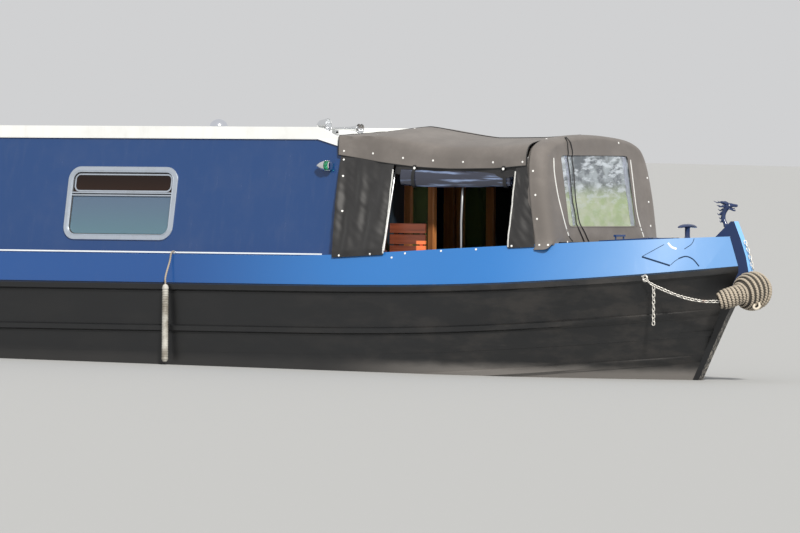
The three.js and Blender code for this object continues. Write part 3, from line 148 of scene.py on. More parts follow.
@contextmanager
def editing(piece):
    """A piece's mesh as a bmesh, written back when the block ends."""
    shape = bmesh.new()
    shape.from_mesh(piece.data)
    yield shape
    shape.to_mesh(piece.data)
    shape.free()


def applied(piece):
    """Turns a piece's modifiers into its mesh."""
    bpy.context.view_layer.update()
    graph = bpy.context.evaluated_depsgraph_get()
    mesh = bpy.data.meshes.new_from_object(piece.evaluated_get(graph), depsgraph=graph)
    piece.modifiers.clear()
    piece.data = mesh
    return piece


def outward(piece):
    """Turns all faces of a closed piece to point out."""
    with editing(piece) as shape:
        bmesh.ops.remove_doubles(shape, verts=shape.verts, dist=1e-6)
        bmesh.ops.recalc_face_normals(shape, faces=shape.faces)
    return piece


def smooth(piece, angle=35):
    """Shades a piece smooth and keeps edges sharper than the angle."""
    with editing(piece) as shape:
        for face in shape.faces:
            face.smooth = True
        for edge in shape.edges:
            edge.smooth = edge.is_manifold and edge.calc_face_angle(0) < math.radians(angle)
    return piece


def all_smooth(piece):
    """Shades every face smooth, whatever its edges."""
    for face in piece.data.polygons:
        face.use_smooth = True


def weighted(piece):
    """Gives a piece shading that follows its large faces, and turns its modifiers into its mesh."""
    piece.modifiers.new("shading", "WEIGHTED_NORMAL").keep_sharp = True
    return applied(piece)


def rounded(piece, width, segments=2, angle=30):
    """Rounds the edges of a piece, with shading that keeps its faces flat."""
    bevel = piece.modifiers.new("edges", "BEVEL")
    bevel.width = width
    bevel.segments = segments
    bevel.limit_method = "ANGLE"
    bevel.angle_limit = math.radians(angle)
    bevel.harden_normals = False
    all_smooth(piece)
    return weighted(piece)


def joined(name, pieces):
    """Several objects as one, keeping their materials."""
    shape = bmesh.new()
    materials = []
    for piece in pieces:
        start = len(shape.faces)
        shape.from_mesh(piece.data)
        shape.faces.ensure_lookup_table()
        slots = [slot.material for slot in piece.material_slots]
        for material in slots:
            if material not in materials:
                materials.append(material)
        for face in shape.faces[start:]:
            if slots:
                face.material_index = materials.index(slots[min(face.material_index, len(slots) - 1)])
    whole = from_bmesh(name, shape)
    for material in materials:
        whole.data.materials.append(material)
    for piece in pieces:
        bpy.data.objects.remove(piece)
    return whole


def coated(piece, finish):
    """Gives a piece one finish, by its name."""
    piece.data.materials.clear()
    piece.data.materials.append(material(finish))
    return piece


def finished(piece, finish=None, body=HULL, replaces=()):
    """Gives a piece its finish, its body and the nodes that it stands for."""
    if finish:
        coated(piece, finish)
    if replaces:
        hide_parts(*([replaces] if isinstance(replaces, str) else replaces))
    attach(piece, body)
    return piece


def slab(name, low, high, edge=0.0, segments=2):
    """A box between two corners with rounded edges."""
    shape = bmesh.new()
    bmesh.ops.create_cube(shape, size=1)
    low, high = Vector(low), Vector(high)
    for vertex in shape.verts:
        vertex.co = Vector((low[i] + (vertex.co[i] + 0.5) * (high[i] - low[i]) for i in range(3)))
    piece = from_bmesh(name, shape)
    return rounded(piece, edge, segments) if edge else piece


def frames_along(points, closed=False):
    """Directions across a path that turn with it as little as possible: (point, side, up) for each point."""
    points = [Vector(p) for p in points]
    count = len(points)
    frames = []
    side = None
    for i, point in enumerate(points):
        before = points[(i - 1) % count] if closed or i else point
        after = points[(i + 1) % count] if closed or i < count - 1 else point
        along = (after - before).normalized()
        if side is None:
            side = along.orthogonal().normalized()
        side = (side - along * side.dot(along)).normalized()
        frames.append((point, side, along.cross(side)))
    return frames


def angles(count):
    """Even steps round a full turn."""
    return [2 * math.pi * k / count for k in range(count)]


def ring_round(centre, side, up, across, high, sides):
    """Points of an ellipse about a centre."""
    return [centre + side * (across * math.cos(a)) + up * (high * math.sin(a)) for a in angles(sides)]


def skin(name, rings, closed=False):
    """A closed surface over rings of equally many points: capped, or joined end to end."""
    n, count = len(rings[0]), len(rings)
    faces = []
    for i in range(count if closed else count - 1):
        j = (i + 1) % count
        faces.extend((i * n + k, i * n + (k + 1) % n, j * n + (k + 1) % n, j * n + k) for k in range(n))
    if not closed:
        faces += [tuple(range(n))[::-1], tuple((count - 1) * n + k for k in range(n))]
    return outward(made(name, [point for ring in rings for point in ring], faces))


def tube(name, points, radius, sides=10, closed=False):
    """A round tube along points; radius is one number or one for each point."""
    frames = frames_along(points, closed)
    radii = radius if hasattr(radius, "__len__") else [radius] * len(frames)
    rings = [ring_round(*place, r, r, sides) for place, r in zip(frames, radii)]
    return smooth(skin(name, rings, closed), 50)


def lathe(name, profile, place, steps=48, angle=35):
    """A profile of (radius, height) turned round Z, then put in place; it starts and ends on the axis."""
    vertices, faces, rings = [], [], []
    for radius, height in profile:
        ring = [(radius * math.cos(a), radius * math.sin(a), height) for a in angles(steps if radius >= 1e-6 else 1)]
        rings.append(range(len(vertices), len(vertices) + len(ring)))
        vertices.extend(place @ Vector(point) for point in ring)
    for low, high in zip(rings, rings[1:]):
        for k in range(steps):
            n = (k + 1) % steps
            corners = [low[k % len(low)], low[n % len(low)], high[n % len(high)], high[k % len(high)]]
            corners = list(dict.fromkeys(corners))
            if len(corners) > 2:
                faces.append(tuple(corners))
    return smooth(outward(made(name, vertices, faces)), angle)


def axes_at(at, x, y, z):
    """A placement with its own three directions."""
    return Matrix.Translation(Vector(at)) @ Matrix((x, y, z)).transposed().to_4x4()


def facing(direction, at):
    """A placement whose Z looks along a direction."""
    turn = Vector(direction).to_track_quat("Z", "Y").to_matrix().to_4x4()
    return Matrix.Translation(Vector(at)) @ turn


def path_length(points):
    return sum((b - a).length for a, b in zip(points, points[1:]))


def spline(a, b, c, d, t):
    """A smooth value from b at t = 0 to c at t = 1, with a and d as its neighbours."""
    return 0.5 * (2 * b + (c - a) * t + (2 * a - 5 * b + 4 * c - d) * t * t + (3 * b - a - 3 * c + d) * t ** 3)


def curve_through(points, count):
    """Evenly spaced points on a smooth curve through a few points."""
    points = [Vector(p) for p in points]
    ends = [points[0] * 2 - points[1], *points, points[-1] * 2 - points[-2]]
    steps = 24 # between two of the points
    fine = [spline(*four, k / steps) for four in zip(ends, ends[1:], ends[2:], ends[3:]) for k in range(steps)]
    fine.append(points[-1])
    lengths = [0.0]
    for p, q in zip(fine, fine[1:]):
        lengths.append(lengths[-1] + (q - p).length)
    spaced = []
    k = 0
    for i in range(count):
        goal = lengths[-1] * i / (count - 1)
        while k < len(lengths) - 2 and lengths[k + 1] < goal:
            k += 1
        part = (goal - lengths[k]) / max(lengths[k + 1] - lengths[k], 1e-9)
        spaced.append(fine[k].lerp(fine[k + 1], min(part, 1)))
    return spaced


def tree_of(*names):
    """A search tree over CAD nodes or pieces, for finding points on their surface."""
    vertices, faces = [], []
    for name in names:
        mesh = bpy.data.objects[name].data
        start = len(vertices)
        vertices.extend(v.co.copy() for v in mesh.vertices)
        faces.extend(tuple(start + i for i in face.vertices) for face in mesh.polygons)
    return BVHTree.FromPolygons(vertices, faces)


WELD = 2e-5 # distance under which a CAD node's vertices are one


def welded(node):
    """A copy of a CAD node with its faces joined."""
    shape = bmesh.new()
    shape.from_mesh(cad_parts[node].data)
    bmesh.ops.remove_doubles(shape, verts=shape.verts, dist=WELD)
    return shape


def dressed(node, finish, edge=0.0, segments=2, angle=30, body=HULL):
    """A welded copy of a CAD node with softened edges, which stands for it."""
    shape = welded(node)
    bmesh.ops.dissolve_limit(shape, angle_limit=math.radians(0.4), verts=shape.verts, edges=shape.edges)
    piece = smooth(from_bmesh(node + "_dressed", shape), angle)
    if edge:
        rounded(piece, edge, segments, angle)
    return finished(piece, finish, body, node)


# Geometry nodes

def group_tree(name, kind, inputs, outputs):
    """A node group with named sockets, (name, socket type, value) and (name, socket type), and its two ends."""
    tree = bpy.data.node_groups.new(name, kind)
    for label, socket_kind, value in inputs:
        socket = tree.interface.new_socket(label, in_out="INPUT", socket_type=socket_kind)
        if value is not None:
            socket.default_value = value
    for label, socket_kind in outputs:
        tree.interface.new_socket(label, in_out="OUTPUT", socket_type=socket_kind)
    return tree, tree.nodes.new("NodeGroupInput").outputs, tree.nodes.new("NodeGroupOutput").inputs


def repeat_tree():
    """Sets a copy of an item on every point, turned and sized by the points' own values."""
    found = bpy.data.node_groups.get("Repeat at points")
    if found:
        return found
    tree, given, result = group_tree("Repeat at points", "GeometryNodeTree", [
        ("Geometry", "NodeSocketGeometry", None),
        ("Item", "NodeSocketObject", None),
        ("Finish", "NodeSocketMaterial", None),
    ], [("Geometry", "NodeSocketGeometry")])
    item = put(tree, "GeometryNodeObjectInfo", "Geometry", {"Object": given["Item"]})
    turn, size = (put(tree, "GeometryNodeInputNamedAttribute", "Attribute", {"Name": name}, data_type="FLOAT_VECTOR")
                  for name in ("turn", "size"))
    turned = put(tree, "FunctionNodeEulerToRotation", 0, {"Euler": turn})
    copies = put(tree, "GeometryNodeInstanceOnPoints", 0, {
        "Points": given["Geometry"], "Instance": item, "Rotation": turned, "Scale": size,
    })
    real = put(tree, "GeometryNodeRealizeInstances", 0, {"Geometry": copies})
    tree.links.new(put(tree, "GeometryNodeSetMaterial", 0, {"Geometry": real, "Material": given["Finish"]}),
                   result["Geometry"])
    return tree


def repeated(name, item, places, finish):
    """One mesh of copies of an item at places, each a placement matrix. The item is removed."""
    piece = made(name, [place.translation for place in places], [])
    turn = piece.data.attributes.new("turn", "FLOAT_VECTOR", "POINT")
    size = piece.data.attributes.new("size", "FLOAT_VECTOR", "POINT")
    for i, place in enumerate(places):
        turn.data[i].vector = place.to_euler()
        size.data[i].vector = place.to_scale()
    modifier = piece.modifiers.new("repeat", "NODES")
    modifier.node_group = repeat_tree()
    values = {"Item": item, "Finish": material(finish)}
    for socket in modifier.node_group.interface.items_tree:
        if socket.in_out == "INPUT" and socket.name in values:
            modifier[socket.identifier] = values[socket.name]
    applied(piece)
    bpy.data.objects.remove(item)
    return piece


# Shader nodes

def put(tree, kind, output=0, inputs=None, **choices):
    """Adds a node, sets or joins its inputs and returns one of its outputs."""
    node = tree.nodes.new(kind)
    for key, value in choices.items():
        setattr(node, key, value)
    for key, value in (inputs or {}).items():
        if isinstance(value, bpy.types.NodeSocket):
            tree.links.new(value, node.inputs[key])
        else:
            node.inputs[key].default_value = value
    return node.outputs[output]


def place_of(tree):
    return put(tree, "ShaderNodeTexCoord", "Object")


def stretched(tree, scale, vector=None):
    """Object coordinates scaled on each axis."""
    return put(tree, "ShaderNodeMapping", 0, {"Vector": vector or place_of(tree), "Scale": scale})


def noise(tree, vector, scale, detail=4, rough=0.6):
    return put(tree, "ShaderNodeTexNoise", "Fac", {
        "Vector": vector, "Scale": scale, "Detail": detail, "Roughness": rough,
    })


def band(tree, value, low, high, to_low=0.0, to_high=1.0):
    """A value mapped from one range to another, with smooth ends."""
    return put(tree, "ShaderNodeMapRange", 0, {
        "Value": value, "From Min": low, "From Max": high, "To Min": to_low, "To Max": to_high,
    }, interpolation_type="SMOOTHSTEP")


def maths(tree, what, a, b=0.0):
    return put(tree, "ShaderNodeMath", 0, {0: a, 1: b}, operation=what)


def blend(tree, part, a, b):
    """A colour mixed from two by a part from 0 to 1."""
    def colour(value):
        return value if isinstance(value, bpy.types.NodeSocket) else (*value, 1)
    return put(tree, "ShaderNodeMix", 2, {0: part, 6: colour(a), 7: colour(b)}, data_type="RGBA")


def times(tree, a, b):
    return maths(tree, "MULTIPLY", a, b)


def plus(tree, a, b):
    return maths(tree, "ADD", a, b)


def minus(tree, a, b):
    return maths(tree, "SUBTRACT", a, b)


def axis(tree, which):
    return put(tree, "ShaderNodeSeparateXYZ", which, {0: place_of(tree)})


def given_values(shader, **values):
    """Sets inputs that no node feeds, such as Roughness or Coat_Weight."""
    for key, value in values.items():
        shader[key.replace("_", " ")].default_value = value


def shader_group(name, inputs, outputs):
    """A shader node group from input values by name, numbers or vectors, and the names of its outputs."""
    kinds = {label: "NodeSocketVector" if hasattr(value, "__len__") else "NodeSocketFloat"
             for label, value in inputs.items()}
    return group_tree(name, "ShaderNodeTree", [(label, kinds[label], value) for label, value in inputs.items()],
                      [(label, "NodeSocketFloat") for label in outputs])


def wear_group():
    """Dust, streaks and fine scratches over a finish: how much of each, and its relief."""
    found = bpy.data.node_groups.get("Boat wear")
    if found:
        return found
    tree, given, result = shader_group("Boat wear", {"Scale": 1.0, "Dust": 0.3, "Streaks": 0.3, "Scratches": 0.2},
                                       ("Dirt", "Scratch", "Height"))
    place = put(tree, "ShaderNodeVectorMath", 0, {0: place_of(tree), "Scale": given["Scale"]}, operation="SCALE")
    patches = band(tree, noise(tree, place, 2.3, 6, 0.65), 0.45, 0.75)
    runs = band(tree, noise(tree, stretched(tree, (9, 9, 0.7), place), 2.0, 5, 0.6), 0.5, 0.78)
    lines = noise(tree, stretched(tree, (1.2, 1.2, 26), place), 3.0, 8, 0.7)
    scratch = band(tree, lines, 0.66, 0.70)
    dirt = plus(tree, times(tree, patches, given["Dust"]),
                 times(tree, runs, given["Streaks"]))
    cut = times(tree, scratch, given["Scratches"])
    ripple = noise(tree, place, 1.6, 2, 0.4)
    height = minus(tree, ripple, times(tree, cut, 0.2))
    tree.links.new(dirt, result["Dirt"])
    tree.links.new(cut, result["Scratch"])
    tree.links.new(height, result["Height"])
    return tree


def grain_group():
    """Long timber grain along one axis, as a value and a relief."""
    found = bpy.data.node_groups.get("Boat grain")
    if found:
        return found
    tree, given, result = shader_group("Boat grain", {"Stretch": (30, 30, 1.6)}, ("Grain", "Height"))
    place = put(tree, "ShaderNodeVectorMath", 0, {0: place_of(tree), 1: given["Stretch"]}, operation="MULTIPLY")
    rings = noise(tree, place, 1.0, 6, 0.7)
    fine = noise(tree, place, 5.0, 3, 0.5)
    grain = plus(tree, times(tree, rings, 0.75), times(tree, fine, 0.25))
    tree.links.new(band(tree, grain, 0.35, 0.68), result["Grain"])
    tree.links.new(fine, result["Height"])
    return tree


def weave_group():
    """A fine cloth weave with soft creases: a relief and a worn tint."""
    found = bpy.data.node_groups.get("Boat weave")
    if found:
        return found
    tree, _, result = shader_group("Boat weave", {}, ("Height", "Tint"))
    place = place_of(tree)
    waves = [put(tree, "ShaderNodeTexWave", "Fac", {"Vector": place, "Scale": 140.0, "Distortion": 0.4},
                 bands_direction=way) for way in ("X", "Z")]
    weave = plus(tree, waves[0], waves[1])
    creases = noise(tree, stretched(tree, (3, 3, 1.1)), 2.2, 5, 0.62)
    height = plus(tree, times(tree, weave, 0.02), creases)
    tree.links.new(height, result["Height"])
    tree.links.new(band(tree, noise(tree, place, 1.7, 6, 0.7), 0.35, 0.75), result["Tint"])
    return tree


MATERIALS = {}


def material(name):
    """Makes a material once and keeps it by name, from the function of that name in FINISHES."""
    if name not in MATERIALS:
        made_material = bpy.data.materials.new(name)
        made_material.use_nodes = True
        tree = made_material.node_tree
        shader = tree.nodes["Principled BSDF"].inputs
        FINISHES[name](tree, shader)
        MATERIALS[name] = made_material
    return MATERIALS[name]


def relief(tree, shader, height, strength=0.3, distance=0.002):
    normal = put(tree, "ShaderNodeBump", 0, {"Height": height, "Strength": strength, "Distance": distance})
    tree.links.new(normal, shader["Normal"])


def group_node(tree, group, **values):
    """Places a shader group with its own values and returns its outputs."""
    node = tree.nodes.new("ShaderNodeGroup")
    node.node_tree = group
    for key, value in values.items():
        node.inputs[key].default_value = value
    return node.outputs


DUST = (0.30, 0.29, 0.27)


def painted(colour, roughness, dust=0.25, streaks=0.2, scratches=0.2, coat=0.0, dust_colour=DUST):
    """A painted finish with dust, runs and scratches."""
    def finish(tree, shader):
        wear = group_node(tree, wear_group(), Dust=dust, Streaks=streaks, Scratches=scratches)
        dusty = blend(tree, wear["Dirt"], colour, dust_colour)
        pale = tuple(min(1, c * 1.5 + 0.08) for c in colour)
        tree.links.new(blend(tree, wear["Scratch"], dusty, pale), shader["Base Color"])
        tree.links.new(plus(tree, times(tree, wear["Dirt"], 0.45), roughness), shader["Roughness"])
        given_values(shader, Coat_Weight=coat, Coat_Roughness=0.08)
        relief(tree, shader, wear["Height"], 0.25, 0.004)
    return finish


def hull_blacking(tree, shader):
    """Black hull paint with slanting scrapes, and dried mud over the waterline towards the bow."""
    paint = settings("paint")
    x, z = axis(tree, "X"), axis(tree, "Z")
    rise = times(tree, minus(tree, x, FLOAT_X), -TRIM)
    over = minus(tree, minus(tree, z, settings("stage").waterline), rise)
    ragged = times(tree, minus(tree, noise(tree, stretched(tree, (2.2, 2.2, 9)), 2.0, 5), 0.5), 0.05)
    mud = band(tree, plus(tree, over, ragged), 0.125, 0.03)
    forward = band(tree, x, 4.2, 5.8, 0.08, 1.0)
    slant = put(tree, "ShaderNodeMapping", 0,
                {"Vector": place_of(tree), "Rotation": (0, 0.42, 0), "Scale": (0.9, 2, 34)})
    scratch = band(tree, noise(tree, slant, 2.4, 9, 0.72), 0.64, 0.72)
    patch = band(tree, noise(tree, stretched(tree, (1.2, 1.2, 3)), 2.0, 5, 0.65), 0.42, 0.68)
    scuffed = times(tree, scratch, band(tree, x, 4.4, 6.8, 0.03, 0.30))
    dusty = blend(tree, times(tree, patch, band(tree, x, 3.0, 6.6, 0.10, 0.75)), paint.hull,
                  (0.030, 0.027, 0.025))
    worn = blend(tree, scuffed, dusty, (0.12, 0.11, 0.10))
    tree.links.new(blend(tree, times(tree, mud, forward), worn, paint.scum), shader["Base Color"])
    tree.links.new(band(tree, noise(tree, place_of(tree), 3.0, 5), 0.3, 0.8, 0.30, 0.50), shader["Roughness"])
    relief(tree, shader, noise(tree, place_of(tree), 1.6, 2, 0.4), 0.15, 0.006)


def topside_paint(tree, shader):
    """The band's blue with painted light: darkened aft as painted shade, and paled towards the bow as a painted
    highlight, where its plate turns up to the sky.
    """
    paint = settings("paint")
    painted(paint.topside, 0.24, 0.04, 0.06, 0.2, 0.35)(tree, shader)
    x = axis(tree, "X")
    # Painted light along the band: aft is painted shade, bow is a painted highlight.
    aft = tuple(c * part for c, part in zip(paint.topside, (0.30, 0.30, 0.42)))
    bow = tuple(c * part for c, part in zip(paint.topside, (5.2, 1.75, 1.18)))
    along = blend(tree, band(tree, x, 2.6, 5.0), aft, paint.topside)
    along = blend(tree, band(tree, x, 5.7, 7.2), along, bow)
    worn = shader["Base Color"].links[0].from_socket
    tree.links.new(blend(tree, 0.12, along, worn), shader["Base Color"])


def upper_glass(tree, shader):
    """A window's upper pane, painted with the shaded dark brown lining of the cabin behind it: painted shade, darker
    towards the top.
    """
    fade = band(tree, axis(tree, "Z"), 1.86, 2.10)
    tree.links.new(blend(tree, fade, (0.030, 0.015, 0.010), (0.012, 0.007, 0.006)), shader["Base Color"])
    given_values(shader, Roughness=0.12, Specular_IOR_Level=0.15, Transmission_Weight=0.30)


def lower_glass(tree, shader):
    """A window's lower pane, with a painted reflection of a dull blue sky over a dim room."""
    fade = band(tree, axis(tree, "Z"), 1.50, 1.86)
    tree.links.new(blend(tree, fade, (0.16, 0.29, 0.36), (0.15, 0.23, 0.34)), shader["Base Color"])
    given_values(shader, Roughness=0.10, Transmission_Weight=0.45)
    relief(tree, shader, noise(tree, place_of(tree), 2.5, 2), 0.05, 0.004)


def creased_film(tree, shader):
    """Clear film, creased towards its top, with milky wrinkles, a painted pale green view through its lower part and
    painted shade, the dim inside of the canopy, over its upper part.
    """
    z = axis(tree, "Z")
    warp = noise(tree, stretched(tree, (1, 3.2, 4.2)), 1.6, 3, 0.6)
    swirl = put(tree, "ShaderNodeMapping", 0,
                {"Vector": place_of(tree), "Rotation": (0.6, 0, 0), "Scale": (1, 3.2, 11)})
    wrinkle = band(tree, noise(tree, swirl, 2.2, 6, 0.66), 0.47, 0.62)
    upper = band(tree, z, 1.72, 2.08, 0.10, 1.0)
    milky = times(tree, wrinkle, upper)
    # low is a painted view of the grass through the film; high is painted shade of the canopy's inside behind it.
    low = blend(tree, band(tree, warp, 0.35, 0.65), (0.40, 0.50, 0.27), (0.52, 0.57, 0.42))
    high = blend(tree, band(tree, warp, 0.40, 0.62), (0.13, 0.15, 0.17), (0.40, 0.45, 0.48))
    base = blend(tree, band(tree, z, 1.84, 2.02), low, high)
    tree.links.new(blend(tree, milky, base, (0.66, 0.72, 0.78)), shader["Base Color"])
    given_values(shader, Roughness=0.12, Transmission_Weight=0.30, Coat_Weight=0.5)
    relief(tree, shader, noise(tree, swirl, 3.0, 4, 0.6), 0.35, 0.004)


def seat_redwood(tree, shader):
    """Stained slats, with a painted patch of sunlight near the seat's front, where the sun comes through the gap."""
    grain = group_node(tree, grain_group(), Stretch=(1.4, 26, 40))
    stain = blend(tree, grain["Grain"], (0.20, 0.050, 0.022), (0.085, 0.020, 0.010))
    x, z = axis(tree, "X"), axis(tree, "Z")
    lit = times(tree, band(tree, x, 5.020, 5.030), band(tree, z, 1.525, 1.515))
    tree.links.new(blend(tree, lit, stain, (0.95, 0.22, 0.07)), shader["Base Color"])
    given_values(shader, Roughness=0.4)
    relief(tree, shader, grain["Height"], 0.2, 0.0006)


def canvas(name):
    def finish(tree, shader):
        cloth = settings("canopy")
        colour = getattr(cloth, name)
        weave = group_node(tree, weave_group())
        worn = tuple(c * 1.35 + 0.01 for c in colour)
        tree.links.new(blend(tree, weave["Tint"], colour, worn), shader["Base Color"])
        given_values(shader, Roughness=0.80 if name == "canvas" else 0.56, Sheen_Weight=0.12)
        relief(tree, shader, weave["Height"], 0.35, 0.005)
    return finish


def timber(light, dark, roughness=0.3):
    def finish(tree, shader):
        grain = group_node(tree, grain_group())
        tree.links.new(blend(tree, grain["Grain"], light, dark), shader["Base Color"])
        tree.links.new(band(tree, grain["Grain"], 0, 1, roughness, roughness + 0.15), shader["Roughness"])
        given_values(shader, Coat_Weight=0.5, Coat_Roughness=0.15)
        relief(tree, shader, grain["Height"], 0.2, 0.0006)
    return finish


def metal(colour, roughness, tarnish, amount=0.35, metallic=1.0):
    """Bare or plated metal with patches of tarnish."""
    def finish(tree, shader):
        wear = group_node(tree, wear_group(), Scale=4.0, Dust=amount, Streaks=amount * 0.5, Scratches=0.2)
        tree.links.new(blend(tree, wear["Dirt"], colour, tarnish), shader["Base Color"])
        given_values(shader, Metallic=metallic)
        tree.links.new(plus(tree, times(tree, wear["Dirt"], 0.4), roughness), shader["Roughness"])
        relief(tree, shader, wear["Height"], 0.1, 0.001)
    return finish


def chain_metal(tree, shader):
    rust = band(tree, noise(tree, place_of(tree), 9.0, 5, 0.7), 0.60, 0.72)
    tree.links.new(blend(tree, rust, (0.62, 0.60, 0.56), (0.34, 0.10, 0.03)), shader["Base Color"])
    tree.links.new(band(tree, rust, 0, 1, 0.5, 0.0), shader["Metallic"])
    tree.links.new(band(tree, rust, 0, 1, 0.38, 0.85), shader["Roughness"])
    relief(tree, shader, noise(tree, place_of(tree), 160.0, 3), 0.3, 0.0008)


def glass(tint, roughness=0.03):
    def finish(tree, shader):
        given_values(shader, Base_Color=(*tint, 1), Roughness=roughness, Transmission_Weight=0.85, IOR=1.45)
        relief(tree, shader, noise(tree, place_of(tree), 2.5, 2), 0.08, 0.004)
    return finish


def rope_fibre(tree, shader):
    """Rope with painted shade in its grooves, by the mesh's groove value, and crowns worn pale."""
    rope = settings("rope")
    groove = put(tree, "ShaderNodeAttribute", "Fac", attribute_name="groove")
    hairs = noise(tree, place_of(tree), 140.0, 4, 0.7)
    grubby = band(tree, noise(tree, place_of(tree), 7.0, 4), 0.4, 0.7)
    base = blend(tree, grubby, rope.fibre, tuple(c * 0.72 for c in rope.fibre))
    crown = blend(tree, times(tree, hairs, 0.4), base, (0.62, 0.56, 0.47))
    tree.links.new(blend(tree, groove, crown, (0.030, 0.026, 0.022)), shader["Base Color"])
    given_values(shader, Roughness=0.92)
    relief(tree, shader, hairs, 0.6, 0.002)


def ribbed_rubber(tree, shader):
    ribs = put(tree, "ShaderNodeTexWave", "Fac", {"Vector": place_of(tree), "Scale": 16.0}, bands_direction="Z")
    dirt = band(tree, noise(tree, place_of(tree), 6.0, 5), 0.4, 0.7)
    tree.links.new(blend(tree, dirt, (0.50, 0.49, 0.45), (0.20, 0.18, 0.15)), shader["Base Color"])
    given_values(shader, Roughness=0.6)
    relief(tree, shader, ribs, 0.5, 0.003)


def plain(colour, roughness=0.5, metallic=0.0, grain=60.0):
    """A plain finish with a slight mottle."""
    def finish(tree, shader):
        mottle = band(tree, noise(tree, place_of(tree), grain, 3), 0.3, 0.8)
        tree.links.new(blend(tree, mottle, colour, tuple(c * 0.8 for c in colour)), shader["Base Color"])
        given_values(shader, Roughness=roughness, Metallic=metallic)
        relief(tree, shader, mottle, 0.1, 0.0008)
    return finish


def deck_paint(tree, shader):
    paint = settings("paint")
    grit = noise(tree, place_of(tree), 420.0, 2)
    dirt = band(tree, noise(tree, place_of(tree), 3.2, 6, 0.7), 0.42, 0.75)
    tree.links.new(blend(tree, dirt, paint.deck, (0.10, 0.10, 0.10)), shader["Base Color"])
    given_values(shader, Roughness=0.8)
    relief(tree, shader, grit, 0.7, 0.0015)


def stem_paint(tree, shader):
    """Navy over the guard, with a painted highlight on its forward-facing faces and painted shade on its sides; black
    below with a worn grey front edge.
    """
    paint = settings("paint")
    z = axis(tree, "Z")
    ahead = put(tree, "ShaderNodeSeparateXYZ", 0, {0: put(tree, "ShaderNodeNewGeometry", "Normal")})
    front = band(tree, ahead, 0.55, 0.80)
    high = band(tree, z, 1.17, 1.21)
    worn = times(tree, band(tree, noise(tree, stretched(tree, (26, 26, 9)), 3.0, 6, 0.72), 0.47, 0.60),
                 band(tree, z, 1.02, 0.86))
    black = blend(tree, times(tree, worn, front), paint.hull, (0.30, 0.27, 0.23))
    # Painted light on the upper stem: bright blue where the faces look forward is a painted highlight, dark navy on the
    # sides is painted shade.
    blue = blend(tree, front, (0.010, 0.026, 0.090), (0.22, 0.50, 0.92))
    tree.links.new(blend(tree, high, black, blue), shader["Base Color"])
    given_values(shader, Roughness=0.28)
    relief(tree, shader, noise(tree, place_of(tree), 2.0, 2, 0.4), 0.1, 0.003)


def rudder_paint(tree, shader):
    """Black under the deck and cabin blue over it."""
    paint = settings("paint")
    wear = group_node(tree, wear_group(), Dust=0.2, Streaks=0.1, Scratches=0.1)
    over = band(tree, axis(tree, "Z"), 1.324, 1.328)
    tree.links.new(blend(tree, over, paint.hull, paint.cabin), shader["Base Color"])
    tree.links.new(plus(tree, times(tree, wear["Dirt"], 0.4), 0.3), shader["Roughness"])
    relief(tree, shader, wear["Height"], 0.2, 0.003)


def rolled_film_finish(tree, shader):
    """Clear film seen through several turns: painted dark as shade, with long pale blue streaks of painted reflection.
    """
    long = noise(tree, stretched(tree, (0.9, 9, 16)), 2.0, 5, 0.6)
    painted_glint = band(tree, long, 0.50, 0.66)
    tree.links.new(blend(tree, painted_glint, (0.030, 0.034, 0.055), (0.24, 0.32, 0.52)), shader["Base Color"])
    given_values(shader, Roughness=0.16, Transmission_Weight=0.10, Coat_Weight=0.5)
    relief(tree, shader, long, 0.5, 0.004)


def floor_finish(tree, shader):
    given_values(shader, Base_Color=(*settings("stage").floor, 1), Roughness=0.75)


FINISHES = {}


